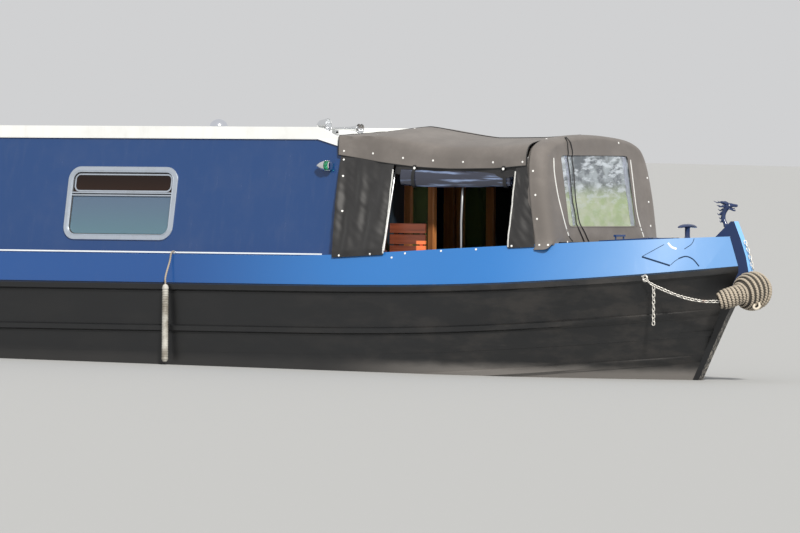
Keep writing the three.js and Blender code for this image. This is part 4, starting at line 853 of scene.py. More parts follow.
def make_finishes():
    """Fills the table of finishes from the sizes and colours that the sidebar holds."""
    paint, glazing = settings("paint"), settings("glazing")
    FINISHES.update({
        "hull_blacking": hull_blacking,
        "stem_paint": stem_paint,
        "rudder_paint": rudder_paint,
        # Painted shadow: the flash's raised strips, the band's blue darkened to near black.
        "flash_painted_shadow": plain(tuple(c * 0.14 for c in paint.topside), 0.95),
        # Blue paint darkened to navy as painted shade, for the figurehead and the mooring stud.
        "navy_painted_shade": painted((0.012, 0.028, 0.095), 0.22, 0.03, 0.03, 0.1, 0.5),
        "film_pale": glass((0.86, 0.90, 1.0), 0.30),
        "rope_pale": plain((0.62, 0.56, 0.46), 0.9, 0.0, 90.0),
        "lower_pane": lower_glass,
        # The door glass is tinted green as a painted view of the foliage that shows in it, not the glass's own colour.
        "door_pane": glass((0.42, 0.55, 0.20), 0.05),
        "rolled_film": rolled_film_finish,
        "zip_white": plain((0.72, 0.72, 0.70), 0.5),
        "stud_white": plain((0.86, 0.86, 0.84), 0.25, 0.0, 200.0),
        "brass_bright": metal((0.84, 0.86, 0.92), 0.16, (0.60, 0.57, 0.50), 0.10),
        "rope_core_painted_shade": plain((0.050, 0.044, 0.036), 0.95, 0.0, 120.0),
        "cabin_paint": painted(paint.cabin, 0.26, 0.03, 0.03, 0.12, 0.25),
        "topside_paint": topside_paint,
        "upper_pane": upper_glass,
        # Painted shade: the front bulkhead's blue darkened to near black.
        "bulkhead_painted_shade": painted(paint.bulkhead, 0.35, 0.08, 0.05, 0.1),
        "roof_paint": painted(paint.roof, 0.35, 0.22, 0.15, 0.1, dust_colour=(0.45, 0.43, 0.38)),
        "line_paint": painted(paint.line, 0.4, 0.2, 0.1, 0.1),
        "deck_paint": deck_paint,
        "canvas": canvas("canvas"),
        # The side cloth's dark colour is partly painted shade.
        "side_cloth": canvas("curtain"),
        "film": creased_film,
        "alloy": metal(glazing.alloy, 0.32, (0.35, 0.37, 0.38), 0.3, 0.85),
        "steel": metal((0.55, 0.56, 0.57), 0.3, (0.3, 0.29, 0.27), 0.3),
        "chrome": metal((0.82, 0.83, 0.84), 0.06, (0.5, 0.48, 0.44), 0.12),
        "brass": metal((0.70, 0.47, 0.16), 0.16, (0.25, 0.17, 0.07), 0.4),
        "bronze": metal((0.40, 0.27, 0.12), 0.35, (0.08, 0.13, 0.08), 0.6),
        "chain": chain_metal,
        "green_glass": glass((0.08, 0.75, 0.35), 0.1),
        "red_glass": glass((0.80, 0.05, 0.04), 0.1),
        "clear_lens": glass((0.95, 0.97, 1.0), 0.02),
        "rubber": plain((0.018, 0.018, 0.018), 0.6),
        "window_cloth": plain(glazing.curtain, 0.9, 0.0, 30.0),
        # The mahogany's colours are about twice as light as the timber's own: painted light, since the door leaves
        # stand in the canopy's shade.
        "mahogany": timber((0.47, 0.19, 0.060), (0.26, 0.085, 0.024)),
        "redwood": seat_redwood,
        "rope": rope_fibre,
        "fender_rubber": ribbed_rubber,
        "engine": plain((0.03, 0.09, 0.05), 0.45, 0.0, 9.0),
        "piping": plain((0.012, 0.012, 0.013), 0.5),
        "floor": floor_finish,
    })


# Camera and stage

ANCHOR = Vector((4.5, 0, 1.2)) # the point that the camera was solved on
ANCHOR_PIXEL = (413.16, 279.39)
PHOTO = (800, 533)
SENSOR = 36


def camera_frame():
    """The camera's right, up and forward directions."""
    view = settings("stage")
    a, e, r = (math.radians(v) for v in (view.azimuth, view.elevation, view.roll))
    forward = Vector((-math.sin(a) * math.cos(e), math.cos(a) * math.cos(e), -math.sin(e)))
    level = Vector((math.cos(a), math.sin(a), 0))
    upright = level.cross(forward)
    right = level * math.cos(r) + upright * math.sin(r)
    return right, upright * math.cos(r) - level * math.sin(r), forward


def camera_place():
    """Where the camera stands, so that the anchor falls on its pixel."""
    view = settings("stage")
    right, up, forward = camera_frame()
    metres = view.distance / (view.lens * PHOTO[0] / SENSOR)
    across = (ANCHOR_PIXEL[0] - PHOTO[0] / 2) * metres
    down = (ANCHOR_PIXEL[1] - PHOTO[1] / 2) * metres
    return ANCHOR - forward * view.distance - right * across + up * down


def sight_line(px, py):
    """The camera's place and the direction through a pixel of the photo's frame."""
    view = settings("stage")
    right, up, forward = camera_frame()
    focal = view.lens * PHOTO[0] / SENSOR
    return camera_place(), (forward * focal + right * (px - PHOTO[0] / 2) - up * (py - PHOTO[1] / 2)).normalized()


def seen_at(tree, px, py):
    """The first point of a surface behind a pixel, or behind the nearest one that has it, and its normal."""
    for reach in range(13):
        for k in range(8 if reach else 1):
            a = math.pi * k / 4
            origin, direction = sight_line(px + reach * math.cos(a), py + reach * math.sin(a))
            place, normal, _, _ = tree.ray_cast(origin, direction)
            if place is not None:
                return place, normal
    raise ValueError(f"nothing lies near pixel {px}, {py}")


class BOAT_OT_camera(bpy.types.Operator):
    """Sets the camera that sees the boat from its starboard bow"""
    bl_idname = "boat.camera"
    bl_label = "Camera"

    def execute(self, context):
        right, up, forward = camera_frame()
        data = bpy.data.cameras.new("camera")
        data.sensor_width = SENSOR
        data.lens = settings("stage").lens
        data.clip_start, data.clip_end = 1, 2000
        camera = linked("camera", data)
        turn = Matrix((right, up, -forward)).transposed().to_4x4()
        camera.matrix_world = Matrix.Translation(camera_place()) @ turn
        context.scene.camera = camera
        return {"FINISHED"}


class BOAT_OT_stage(bpy.types.Operator):
    """Lays a pale floor at the waterline and sets soft light"""
    bl_idname = "boat.stage"
    bl_label = "Floor and light"

    def execute(self, context):
        view = settings("stage")
        reach = 260 # half the floor's size
        corners = [(x, y, view.waterline - TRIM * (x - FLOAT_X))
                   for x, y in ((-reach, -reach), (reach, -reach), (reach, reach), (-reach, reach))]
        floor = made("floor", corners, [(0, 1, 2, 3)])
        coated(floor, "floor")
        key = bpy.data.lights.new("key", "SUN")
        key.energy, key.angle = view.sun, math.radians(6)
        key.color = (1.0, 0.965, 0.90)
        lamp = linked("key", key)
        lamp.rotation_euler = Vector((0.62, -0.62, 0.72)).to_track_quat("Z", "Y").to_euler()
        world = bpy.data.worlds.new("studio")
        world.use_nodes = True
        sky = world.node_tree.nodes["Background"].inputs
        sky["Color"].default_value = (0.79, 0.795, 0.805, 1)
        sky["Strength"].default_value = view.sky
        context.scene.world = world
        context.scene.view_settings.view_transform = "Standard"
        return {"FINISHED"}


# Hull, paint lines and ornament

HULL_NODES = ("hull_base", "hull_side_starboard", "hull_side_port", "hull_bow", "hull_stern")
STRAKE_ANGLE = 48 # edges under this many degrees are shaded round


class BOAT_OT_hull(bpy.types.Operator):
    """Paints the hull black, with its strakes rounded"""
    bl_idname = "boat.hull"
    bl_label = "Hull"

    def execute(self, context):
        for node in HULL_NODES:
            piece = weighted(smooth(from_bmesh(node + "_dressed", welded(node)), STRAKE_ANGLE))
            finished(piece, "hull_blacking", HULL, node)
        for side in SIDES:
            dressed("topside_band_" + side, "topside_paint", 0.003)
        dressed("stem", "stem_paint", 0.004)
        dressed("foredeck", "deck_paint", 0.002)
        return {"FINISHED"}


def ribbon(name, places, normals, width, proud):
    """A flat strip on a surface, with rounded edges, from points on it and their normals."""
    section = [(-0.5, 0), (-0.42, 0.75), (0, 1), (0.42, 0.75), (0.5, 0)] # across in widths, out in proud
    sunk = 0.0004 # how far it goes into the surface
    rings = []
    for i, (place, normal) in enumerate(zip(places, normals)):
        along = (places[min(i + 1, len(places) - 1)] - places[max(i - 1, 0)]).normalized()
        across = along.cross(normal).normalized()
        rings.append([place + across * (a * width) + normal * (h * proud - sunk) for a, h in section])
    return smooth(skin(name, rings), 40)


def ribbon_seen(name, tree, pixels, count, width, proud):
    """A strip on a surface through points that the camera sees at these pixels."""
    found = [seen_at(tree, px, py) for px, py in pixels]
    places = curve_through([place for place, _ in found], count)
    landed = [tree.find_nearest(place) for place in places]
    return ribbon(name, [hit[0] for hit in landed], [hit[1] for hit in landed], width, proud)


# The flash's dark strips are painted shadow along the edges of its raised shape; its white strip is a painted highlight
# on a lit edge.
FLASH = [
    # finish, width, pixels along it
    ("flash_painted_shadow", 0.004, [(642, 256.5), (653, 250.5), (664, 244.5)]),
    ("flash_painted_shadow", 0.014, [(642, 256.8), (656, 261.2), (670, 265.6)]),
    ("flash_painted_shadow", 0.004, [(670.5, 265.0), (675, 261), (678.5, 258.8)]),
    ("flash_painted_shadow", 0.010, [(678.5, 258.5), (686, 256.4), (693, 259.3), (699, 266.2)]),
    ("line_paint", 0.018, [(668, 243), (671.5, 247), (676.5, 249)]),
    ("flash_painted_shadow", 0.005, [(694.2, 238.6), (691.6, 244), (684.4, 249)]),
]


class BOAT_OT_lines(bpy.types.Operator):
    """Lays the coach line along the cabin and the raised flash on the bow"""
    bl_idname = "boat.lines"
    bl_label = "Coach line and flash"

    def execute(self, context):
        band = tree_of("topside_band_starboard")
        strips = []
        for k, (finish, width, pixels) in enumerate(FLASH):
            strips.append(coated(ribbon_seen(f"flash_{k}", band, pixels, 16, width, 0.0035), finish))
        flash = joined("flash_starboard", strips)
        finished(placed(flash, MIRROR, "flash_port"))
        finished(flash)
        rear, front, low, high = -5.78, 4.18, 0.007, 0.019 # the line's ends, and its height up the cabin side
        for side, sign in SIDES.items():
            corners = [on_side(sign, x, v, n) for x in (rear, front) for v in (low, high) for n in (-0.0002, 0.0008)]
            faces = [(0, 1, 3, 2), (4, 6, 7, 5), (0, 4, 5, 1), (2, 3, 7, 6), (0, 2, 6, 4), (1, 5, 7, 3)]
            line = outward(made("coach_line_" + side, corners, faces))
            finished(line, "line_paint")
        return {"FINISHED"}


# Cabin

SIDE_FOOT, SIDE_HEAD = (0.890, 1.390), (0.715, 2.330) # half breadth and height of the cabin side's foot and head
LEAN = math.atan2(SIDE_FOOT[0] - SIDE_HEAD[0], SIDE_HEAD[1] - SIDE_FOOT[1])


def side_matrix(sign):
    """Places the cabin side's own axes, x along, y up the slope, z out, on one side of the boat."""
    up = Vector((0, -sign * math.sin(LEAN), math.cos(LEAN)))
    out = Vector((0, sign * math.cos(LEAN), math.sin(LEAN)))
    return axes_at((0, sign * SIDE_FOOT[0], SIDE_FOOT[1]), Vector((1, 0, 0)), up, out)


def on_side(sign, x, up, out):
    return side_matrix(sign) @ Vector((x, up, out))


class BOAT_OT_cabin(bpy.types.Operator):
    """Paints the cabin sides, the roof with its handrails and the bulkheads"""
    bl_idname = "boat.cabin"
    bl_label = "Cabin"

    def execute(self, context):
        for side in SIDES:
            dressed("cabin_side_" + side, "cabin_paint", 0.002)
        dressed("roof", "roof_paint", 0.004)
        # The front bulkhead's near black colour is painted shade.
        dressed("front_bulkhead", "bulkhead_painted_shade", 0.002)
        dressed("rear_bulkhead", "cabin_paint", 0.002)
        dressed("rear_hatch", "cabin_paint", 0.005, body="rear_hatch")
        return {"FINISHED"}


# Windows

WINDOW = {"width": 1.067, "height": 0.610, "corner": 0.115, "up": (1.796 - 1.390) / math.cos(LEAN)}
WINDOW_X = (2.190, -0.210, -2.610, -4.850)


def rounded_loop(width, height, corner, steps=8):
    """Points round a rectangle with round corners, anticlockwise, centred."""
    points = []
    for sx, sy, first in ((1, 1, 0), (-1, 1, 90), (-1, -1, 180), (1, -1, 270)):
        for k in range(steps + 1):
            a = math.radians(first + 90 * k / steps)
            points.append((sx * (width / 2 - corner) + corner * math.cos(a),
                           sy * (height / 2 - corner) + corner * math.sin(a)))
    return points


def ring_frame(name, width, height, corner, profile):
    """A frame round a rounded rectangle from a closed profile of (inset, height out)."""
    rings = []
    for inset, out in profile:
        loop = rounded_loop(width - 2 * inset, height - 2 * inset, max(corner - inset, 0.004))
        rings.append([Vector((x, y, out)) for x, y in loop])
    return smooth(skin(name, rings, True), 30)


def window_set():
    """One window in its own axes: alloy frame with its transom, seal, panes."""
    width, height, corner = WINDOW["width"], WINDOW["height"], WINDOW["corner"]
    profile = [(0, 0.0003), (0, 0.008), (0.003, 0.012), (0.034, 0.012), (0.036, 0.0095), (0.039, 0.0095),
               (0.041, 0.012), (0.046, 0.012), (0.048, 0.010), (0.048, -0.055), (0.038, -0.055), (0.038, 0.0003)]
    pieces = [ring_frame("frame", width, height, corner, profile)]
    reach, sill = width / 2 - 0.049, -height / 2
    for low, high, out in ((0.061, 0.073, 0.004), (0.081, 0.093, 0.008)):
        pieces.append(slab("bar", (-reach, low, -0.018), (reach, high, out), 0.002))
    hopper = ring_frame("hopper", 2 * reach - 0.02, 0.150, 0.050,
                        [(0, -0.014), (0, -0.004), (0.012, -0.004), (0.012, -0.014)])
    hopper.data.transform(Matrix.Translation((0, 0.172, 0)))
    pieces.append(hopper)
    for x in (-0.33, 0.33):
        pieces.append(slab("drain", (x - 0.022, sill + 0.010, 0.011), (x + 0.022, sill + 0.018, 0.0135), 0.0008))
    seal = [(0.047, -0.014), (0.047, -0.004), (0.055, -0.006), (0.055, -0.014)]
    return {
        "frame": coated(joined("window_frame", pieces), "alloy"),
        "seal": coated(ring_frame("window_seal", width, height, corner, seal), "rubber"),
        "lower_pane": coated(slab("window_lower_pane", (-reach, sill + 0.049, -0.012), (reach, 0.062, -0.008)),
                             "lower_pane"),
        "upper_pane": coated(slab("window_upper_pane", (-reach, 0.090, -0.012), (reach, -sill - 0.049, -0.008)),
                             "upper_pane"),
    }


def placed(piece, matrix, name):
    """A copy of a piece moved into place; a turn that mirrors it also turns its faces."""
    copy = linked(name, piece.data.copy())
    copy.data.transform(matrix)
    if matrix.determinant() < 0:
        copy.data.flip_normals()
    return copy


class BOAT_OT_windows(bpy.types.Operator):
    """Fits eight windows with alloy frames, seals, a transom and curtains"""
    bl_idname = "boat.windows"
    bl_label = "Windows"

    def execute(self, context):
        parts = window_set()
        for side, sign in SIDES.items():
            for k, x in enumerate(WINDOW_X, 1):
                place = side_matrix(sign) @ Matrix.Translation((x, WINDOW["up"], 0))
                for kind, part in parts.items():
                    piece = placed(part, place, f"window_{kind}_{k}_{side}")
                    finished(piece, replaces=f"window_{k}_{side}" if kind == "frame" else ())
                hang_curtain(sign, side, k, x)
        for part in parts.values():
            bpy.data.objects.remove(part)
        return {"FINISHED"}


def hang_curtain(sign, side, k, x):
    """A gathered curtain on a thin rail inside the aft end of a window."""
    wide, gathered, top, bottom = 0.62, 0.30, 2.10, 1.47 # flat width, hung width, heights of its ends
    inner = SIDE_FOOT[0] - 0.055 - 0.075
    columns, rows, pleats = 72, 14, 8
    rng = random.Random(40 + k)
    phase = rng.random() * 6
    grid = []
    for i in range(rows + 1):
        v = i / rows
        z = top + (bottom - top) * v
        y = inner - (z - SIDE_FOOT[1]) * math.tan(LEAN)
        row = []
        for j in range(columns + 1):
            u = j / columns
            depth = 0.017 * math.sin(u * 2 * math.pi * pleats + phase + 0.6 * v) * (0.75 + 0.25 * v)
            row.append(Vector((x - 0.49 + gathered * u + 0.006 * math.sin(5 * u + 3 * v), sign * (y + depth), z)))
        grid.append(row)
    cloth = thin(f"curtain_{k}_{side}", grid, 0.0012, Vector((x, 0, 1.8)))
    finished(cloth, "window_cloth")
    y = inner - (top - SIDE_FOOT[1]) * math.tan(LEAN)
    ends = [(x + reach, sign * y, top - 0.006) for reach in (-0.52, 0.52)]
    rail = finished(tube(f"curtain_rail_{k}_{side}", ends, 0.005, 8), "brass")


def thin(name, grid, thickness, inside):
    """A closed thin sheet from a grid of points on its outer face; inside is a point behind it."""
    rows, columns = len(grid), len(grid[0])
    spots = [(i, j) for i in range(rows) for j in range(columns)]
    normals = {}
    for i, j in spots:
        du = grid[i][min(j + 1, columns - 1)] - grid[i][max(j - 1, 0)]
        dv = grid[min(i + 1, rows - 1)][j] - grid[max(i - 1, 0)][j]
        normals[i, j] = du.cross(dv).normalized()
    middle = (rows // 2, columns // 2)
    turn = 1 if normals[middle].dot(grid[middle[0]][middle[1]] - inside) > 0 else -1
    outer = [grid[i][j] for i, j in spots]
    inner = [grid[i][j] - normals[i, j] * (turn * thickness) for i, j in spots]
    far = rows * columns
    faces = []
    for i in range(rows - 1):
        for j in range(columns - 1):
            a, b, c, d = (i * columns + j, i * columns + j + 1, (i + 1) * columns + j + 1, (i + 1) * columns + j)
            faces += [(a, b, c, d), (far + d, far + c, far + b, far + a)]
    edge = list(range(columns))
    edge += [i * columns + columns - 1 for i in range(1, rows)]
    edge += [(rows - 1) * columns + j for j in range(columns - 2, -1, -1)]
    edge += [i * columns for i in range(rows - 2, 0, -1)]
    faces.extend((b, a, far + a, far + b) for a, b in zip(edge, edge[1:] + edge[:1]))
    return smooth(outward(made(name, outer + inner, faces)), 60)


# Doors

LEAVES = {"starboard": (-1, -108), "port": (1, 92)} # side and turn of each front leaf as it stands open
HINGE_X, HINGE_Y = 4.672, 0.364
LEAF = {"low": 0.780, "high": 2.200, "near": 0.010, "far": 0.357, "thick": 0.040}


def leaf_matrix(sign, turn):
    """Places a leaf's own axes, x through it and y away from its hinge, where it stands."""
    base = Matrix.Translation((HINGE_X, sign * HINGE_Y, 0)) @ Matrix.Rotation(math.radians(turn), 4, "Z")
    return base @ Matrix.Scale(-1, 4, (0, 1, 0)) if sign > 0 else base


def front_leaf():
    """A glazed timber leaf in its own axes: stiles, rails, a lower panel, beads, pane and fittings."""
    low, high, near, far, thick = (LEAF[k] for k in ("low", "high", "near", "far", "thick"))
    stile, sill, lock = 0.066, 0.110, 0.070 # widths of stiles, bottom rail and lock rail
    middle = low + 0.520
    left, right = near + stile, far - stile
    bottom, top = middle + lock, high - 0.085

    def part(name, inset, y, z, edge, segments=2):
        return slab(name, (inset, y[0], z[0]), (thick - inset, y[1], z[1]), edge, segments)

    across = (left - 0.001, right + 0.001)
    bars = [
        part("stile", 0, (near, left), (low, high), 0.003),
        part("stile", 0, (right, far), (low, high), 0.003),
        part("rail", 0.001, across, (low + 0.001, low + sill), 0.002),
        part("rail", 0.001, across, (middle, bottom), 0.002),
        part("rail", 0.001, across, (top, high - 0.001), 0.002),
        part("panel", 0.012, (left - 0.004, right + 0.004), (low + sill - 0.004, middle + 0.004), 0.002),
        part("field", 0.006, (left + 0.030, right - 0.030), (low + sill + 0.035, middle - 0.035), 0.006, 3),
    ]
    beads = []
    for x in (0.009, thick - 0.017):
        for y0, y1, z0, z1 in ((left, left + 0.009, bottom, top), (right - 0.009, right, bottom, top),
                               (left, right, bottom, bottom + 0.009), (left, right, top - 0.009, top)):
            beads.append(slab("bead", (x, y0, z0), (x + 0.008, y1, z1), 0.002))
    fittings = []
    for share in (0.35, 0.85):
        z = low + (high - low) * share
        fittings.append(tube("knuckle", [(0, 0, z - 0.030), (0, 0, z + 0.030)], 0.009, 16))
        fittings.append(slab("flap", (-0.001, 0.002, z - 0.030), (0.004, 0.038, z + 0.030), 0.001))
    handle_z = middle + 0.035
    for x, out in ((0, -1), (thick, 1)):
        fittings.append(slab("plate", (x - 0.002, far - 0.052, handle_z - 0.075),
                             (x + 0.002, far - 0.018, handle_z + 0.075), 0.002))
        grip = [(x, far - 0.035, handle_z), (x + out * 0.022, far - 0.035, handle_z),
                (x + out * 0.028, far - 0.050, handle_z), (x + out * 0.027, far - 0.115, handle_z - 0.002)]
        fittings.append(tube("grip", curve_through(grip, 14), 0.0065, 10))
    pane = slab("leaf_pane", (0.018, left - 0.002, bottom - 0.002), (0.022, right + 0.002, top + 0.002))
    return {
        "timber": coated(joined("leaf_timber", bars), "mahogany"),
        "bead": coated(joined("leaf_bead", beads), "mahogany"),
        "pane": coated(pane, "door_pane"),
        "fittings": coated(joined("leaf_fittings", fittings), "brass"),
    }


class BOAT_OT_doors(bpy.types.Operator):
    """Hangs the two glazed front leaves and the two panelled rear leaves"""
    bl_idname = "boat.doors"
    bl_label = "Doors"

    def execute(self, context):
        parts = front_leaf()
        for side, (sign, turn) in LEAVES.items():
            for kind, part in parts.items():
                piece = placed(part, leaf_matrix(sign, turn), f"front_leaf_{kind}_{side}")
                node = f"front_door_{side}"
                finished(piece, body=node, replaces=node if kind == "timber" else ())
        for part in parts.values():
            bpy.data.objects.remove(part)
        casing()
        for side, sign in SIDES.items():
            node = "rear_door_" + side
            dressed(node, "cabin_paint", 0.003, body=node)
            outer, y0, y1 = -5.8205, 0.060, 0.300 # the leaf's outer face and its panels' edges
            for low, high in ((1.310, 1.700), (1.790, 2.250)):
                bead = ring_frame(f"{node}_panel_{int(low * 1000)}", y1 - y0, high - low, 0.02,
                                  [(0, 0), (0.001, 0.006), (0.006, 0.009), (0.014, 0.006), (0.016, 0)])
                turn = Matrix(((0, 0, -1), (1, 0, 0), (0, 1, 0))).to_4x4()
                centre = Matrix.Translation((outer, sign * (y0 + y1) / 2, (low + high) / 2))
                bead.data.transform(centre @ turn)
                outward(bead)
                finished(bead, "cabin_paint", node)
        return {"FINISHED"}


def casing():
    """Timber lining round the front doorway, with an inner lining behind it."""
    half, low, high = 0.360, 0.780, 2.200
    face, rear = (4.6604, 4.6660), (4.570, 4.660) # in x, of the jambs and of the lining

    def part(name, x, y, z):
        return slab(name, (x[0], y[0], z[0]), (x[1], y[1], z[1]), 0.001)

    pieces = []
    for sign in SIDES.values():
        jamb = sorted((sign * (half + 0.001), sign * (half + 0.048)))
        lining = sorted((sign * (half - 0.0005), sign * (half - 0.0105)))
        pieces.append(part("jamb", face, jamb, (1.200, high + 0.040)))
        pieces.append(part("lining", rear, lining, (low + 0.010, high - 0.001)))
    pieces.append(part("head", face, (-half, half), (high + 0.001, high + 0.040)))
    pieces.append(part("lining", rear, (-half + 0.011, half - 0.011), (high - 0.011, high - 0.0005)))
    finished(joined("doorway_lining", pieces), "mahogany")


# Fittings on the roof and sides

class BOAT_OT_fittings(bpy.types.Operator):
    """Sets the vents, tunnel lamp, horn and side lamps"""
    bl_idname = "boat.fittings"
    bl_label = "Vents, lamps and horn"

    def execute(self, context):
        for k, x in enumerate((2.610, -1.500, -3.900), 1):
            vent(k, x)
        tunnel_lamp()
        horn()
        for side, sign in SIDES.items():
            side_lamp(side, sign)
        return {"FINISHED"}


def vent(k, x):
    foot = 2.3823
    dome = [(0, 0.049), (0.070, 0.046), (0.0745, 0.048), (0.0755, 0.053), (0.073, 0.064), (0.063, 0.084),
            (0.045, 0.100), (0.022, 0.110), (0, 0.1125)]
    body = [(0, 0), (0.058, 0), (0.058, 0.005), (0.052, 0.008), (0.045, 0.010), (0.044, 0.014), (0.044, 0.048),
            (0, 0.048)]
    place = Matrix.Translation((x, 0, foot))
    piece = joined(f"vent_{k}", [lathe("dome", dome, place, 56), lathe("neck", body, place, 48)])
    finished(piece, "brass_bright", HULL, f"mushroom_vent_{k}")
    screws = [Matrix.Translation((x + 0.051 * math.cos(a), 0.051 * math.sin(a), foot + 0.0075))
              for a in (i * math.pi / 3 for i in range(6))]
    head = lathe("screw", [(0, 0), (0.0035, 0), (0.003, 0.0012), (0, 0.0018)], Matrix(), 8)
    finished(repeated(f"vent_screws_{k}", head, screws, "brass"))


def tunnel_lamp():
    at = Vector((4.010, -0.560, 2.446))
    forward = facing((1, 0, 0), at)
    shell = [(0, -0.086), (0.012, -0.084), (0.024, -0.078), (0.038, -0.062), (0.046, -0.036), (0.050, -0.012),
             (0.052, 0), (0.055, 0.004), (0.0555, 0.010), (0.055, 0.016), (0.051, 0.018), (0.049, 0.015),
             (0.030, -0.020), (0, -0.034)]
    bowl = lathe("tunnel_lamp_shell", shell, forward, 56)
    lens = lathe("tunnel_lamp_lens", [(0, 0.012), (0.049, 0.012), (0.0495, 0.016), (0.030, 0.0215), (0, 0.024)],
                 forward, 48)
    bulb = lathe("tunnel_lamp_bulb", [(0, -0.030), (0.006, -0.028), (0.008, -0.016), (0.005, -0.008), (0, -0.006)],
                 forward, 20)
    seat = 2.3553
    stand = [
        tube("stand", [(3.980, -0.560, seat + 0.006), (3.980, -0.560, 2.415)], 0.012, 20),
        slab("foot", (3.948, -0.588, seat), (4.012, -0.532, seat + 0.009), 0.003),
        tube("bolt", [(3.980, -0.575, 2.402), (3.980, -0.545, 2.402)], 0.007, 6),
    ]
    finished(joined("tunnel_lamp_body", [bowl, *stand]), "chrome", HULL, "tunnel_lamp")
    finished(lens, "clear_lens")
    finished(bulb, "chrome")


def horn():
    z, y, apart = 2.420, -0.430, 0.064
    pieces = []
    for front, length, across in ((4.236, 0.300, y), (4.224, 0.245, y + apart)):
        outer = [(0, 0), (0.010, 0.001), (0.011, 0.004), (0.011, 0.030), (0.012, length * 0.35),
                 (0.0135, length * 0.6), (0.017, length * 0.76), (0.022, length * 0.87), (0.030, length * 0.96),
                 (0.0385, length)]
        inner = [(0.0395, length - 0.001), (0.037, length - 0.002), (0.028, length * 0.955), (0.018, length * 0.86),
                 (0.010, length * 0.7), (0, length * 0.68)]
        pieces.append(lathe("trumpet", outer + inner, facing((1, 0, 0), (front - length, across, z)), 48))
    rear = 3.936
    pieces.append(slab("bridge", (rear + 0.020, y - 0.014, z - 0.012), (rear + 0.090, y + apart + 0.014, z + 0.010),
                       0.004))
    pieces.append(slab("foot", (rear + 0.034, y + 0.012, 2.3667), (rear + 0.076, y + apart - 0.012, z - 0.008), 0.003))
    finished(joined("horn", pieces), "chrome", HULL, "twin_horn")


def side_lamp(side, sign):
    x, z, length, radius = 4.135, 2.118, 0.140, 0.042
    half = SIDE_FOOT[0] - (z - SIDE_FOOT[1]) * math.tan(LEAN)
    at = Vector((x - length / 2, sign * (half + radius + 0.006), z))
    forward = facing((1, 0, 0), at)
    bullet = lathe("bullet", [(0, 0), (0.006, 0.003), (0.015, 0.013), (0.030, 0.042), (0.038, 0.064), (0.0415, 0.084),
                              (0.042, 0.088), (0.041, 0.093), (0, 0.093)], forward, 48)
    hood = [lathe("rim", [(0.0, 0.131), (0.036, 0.131), (0.0365, 0.134), (0.032, 0.139), (0.020, 0.1405),
                          (0, 0.141)], forward, 40)]
    for up in (1, -1):
        hood.append(tube("bar", [at + Vector((t, 0, 0.0375 * up)) for t in (0.092, 0.133)], 0.003, 10))
    pad = slab("pad", (x - 0.036, 0, 0), (x + 0.024, 0.050, 0.020), 0.004)
    pad.data.transform(side_matrix(sign) @ Matrix.Translation((0, (z - SIDE_FOOT[1]) / math.cos(LEAN) - 0.025, 0.0003)))
    outward(pad)
    finished(joined(f"side_lamp_body_{side}", [bullet, *hood, pad]), "chrome", HULL,
             f"side_lamp_{side}")
    rings = [(0, 0.0935), (0.034, 0.0935)]
    for k in range(7):
        rings.extend([(0.0355, 0.096 + 0.005 * k), (0.0335, 0.0985 + 0.005 * k)])
    rings.extend([(0.034, 0.1305), (0, 0.1305)])
    lens = lathe(f"side_lamp_lens_{side}", rings, forward, 40, 60)
    colour = "green_glass" if side == "starboard" else "red_glass"
    finished(lens, colour)


# Canopy

# Stations of the canopy roof: x, then half breadth and height from the hem to the middle
ROOF_CLOTH = [
    (4.250, [(0.757, 2.205), (0.754, 2.341), (0.728, 2.364), (0.450, 2.384), (0.200, 2.394), (0, 2.400)]),
    (4.660, [(0.775, 2.150), (0.763, 2.338), (0.730, 2.364), (0.455, 2.402), (0.205, 2.431), (0, 2.441)]),
    (4.980, [(0.778, 2.115), (0.766, 2.262), (0.712, 2.322), (0.455, 2.370), (0.205, 2.388), (0, 2.394)]),
    (5.310, [(0.782, 2.100), (0.770, 2.222), (0.708, 2.284), (0.455, 2.328), (0.205, 2.348), (0, 2.354)]),
    (5.740, [(0.806, 2.106), (0.795, 2.226), (0.724, 2.292), (0.460, 2.334), (0.210, 2.352), (0, 2.358)]),
    (6.070, [(0.846, 2.130), (0.836, 2.238), (0.758, 2.308), (0.466, 2.350), (0.218, 2.372), (0, 2.380)]),
]
# Outline of the canopy's front, half breadth and height from the foot to the middle
FRONT_CLOTH = [(0.892, 1.462), (0.868, 1.530), (0.876, 1.860), (0.850, 2.110), (0.800, 2.240), (0.720, 2.302),
               (0.560, 2.346), (0.280, 2.372), (0, 2.382)]
FRONT_TOP, FRONT_FOOT = 2.382, 1.522 # heights of its crown and of the hem on the foredeck


def station(values, x):
    """A row of the canopy table at x, smooth from station to station."""
    xs = [row[0] for row in ROOF_CLOTH]
    i = max(1, next((k for k, sx in enumerate(xs) if sx >= x), len(xs) - 1))
    t = (x - xs[i - 1]) / (xs[i] - xs[i - 1])
    before, after = max(i - 2, 0), min(i + 1, len(xs) - 1)
    a, b, c, d = (values[k] for k in (before, i - 1, i, after))
    return 0.35 * spline(a, b, c, d, t) + 0.65 * (b + (c - b) * t)


def roof_section(x):
    return [tuple(station([row[1][k][way] for row in ROOF_CLOTH], x) for way in (0, 1)) for k in range(6)]


def rumple(point, scale, seed=0.0):
    """A smooth random value from -1 to 1 at a point."""
    return noise_at(Vector(point) * scale + Vector((seed, seed * 0.7, -seed)))


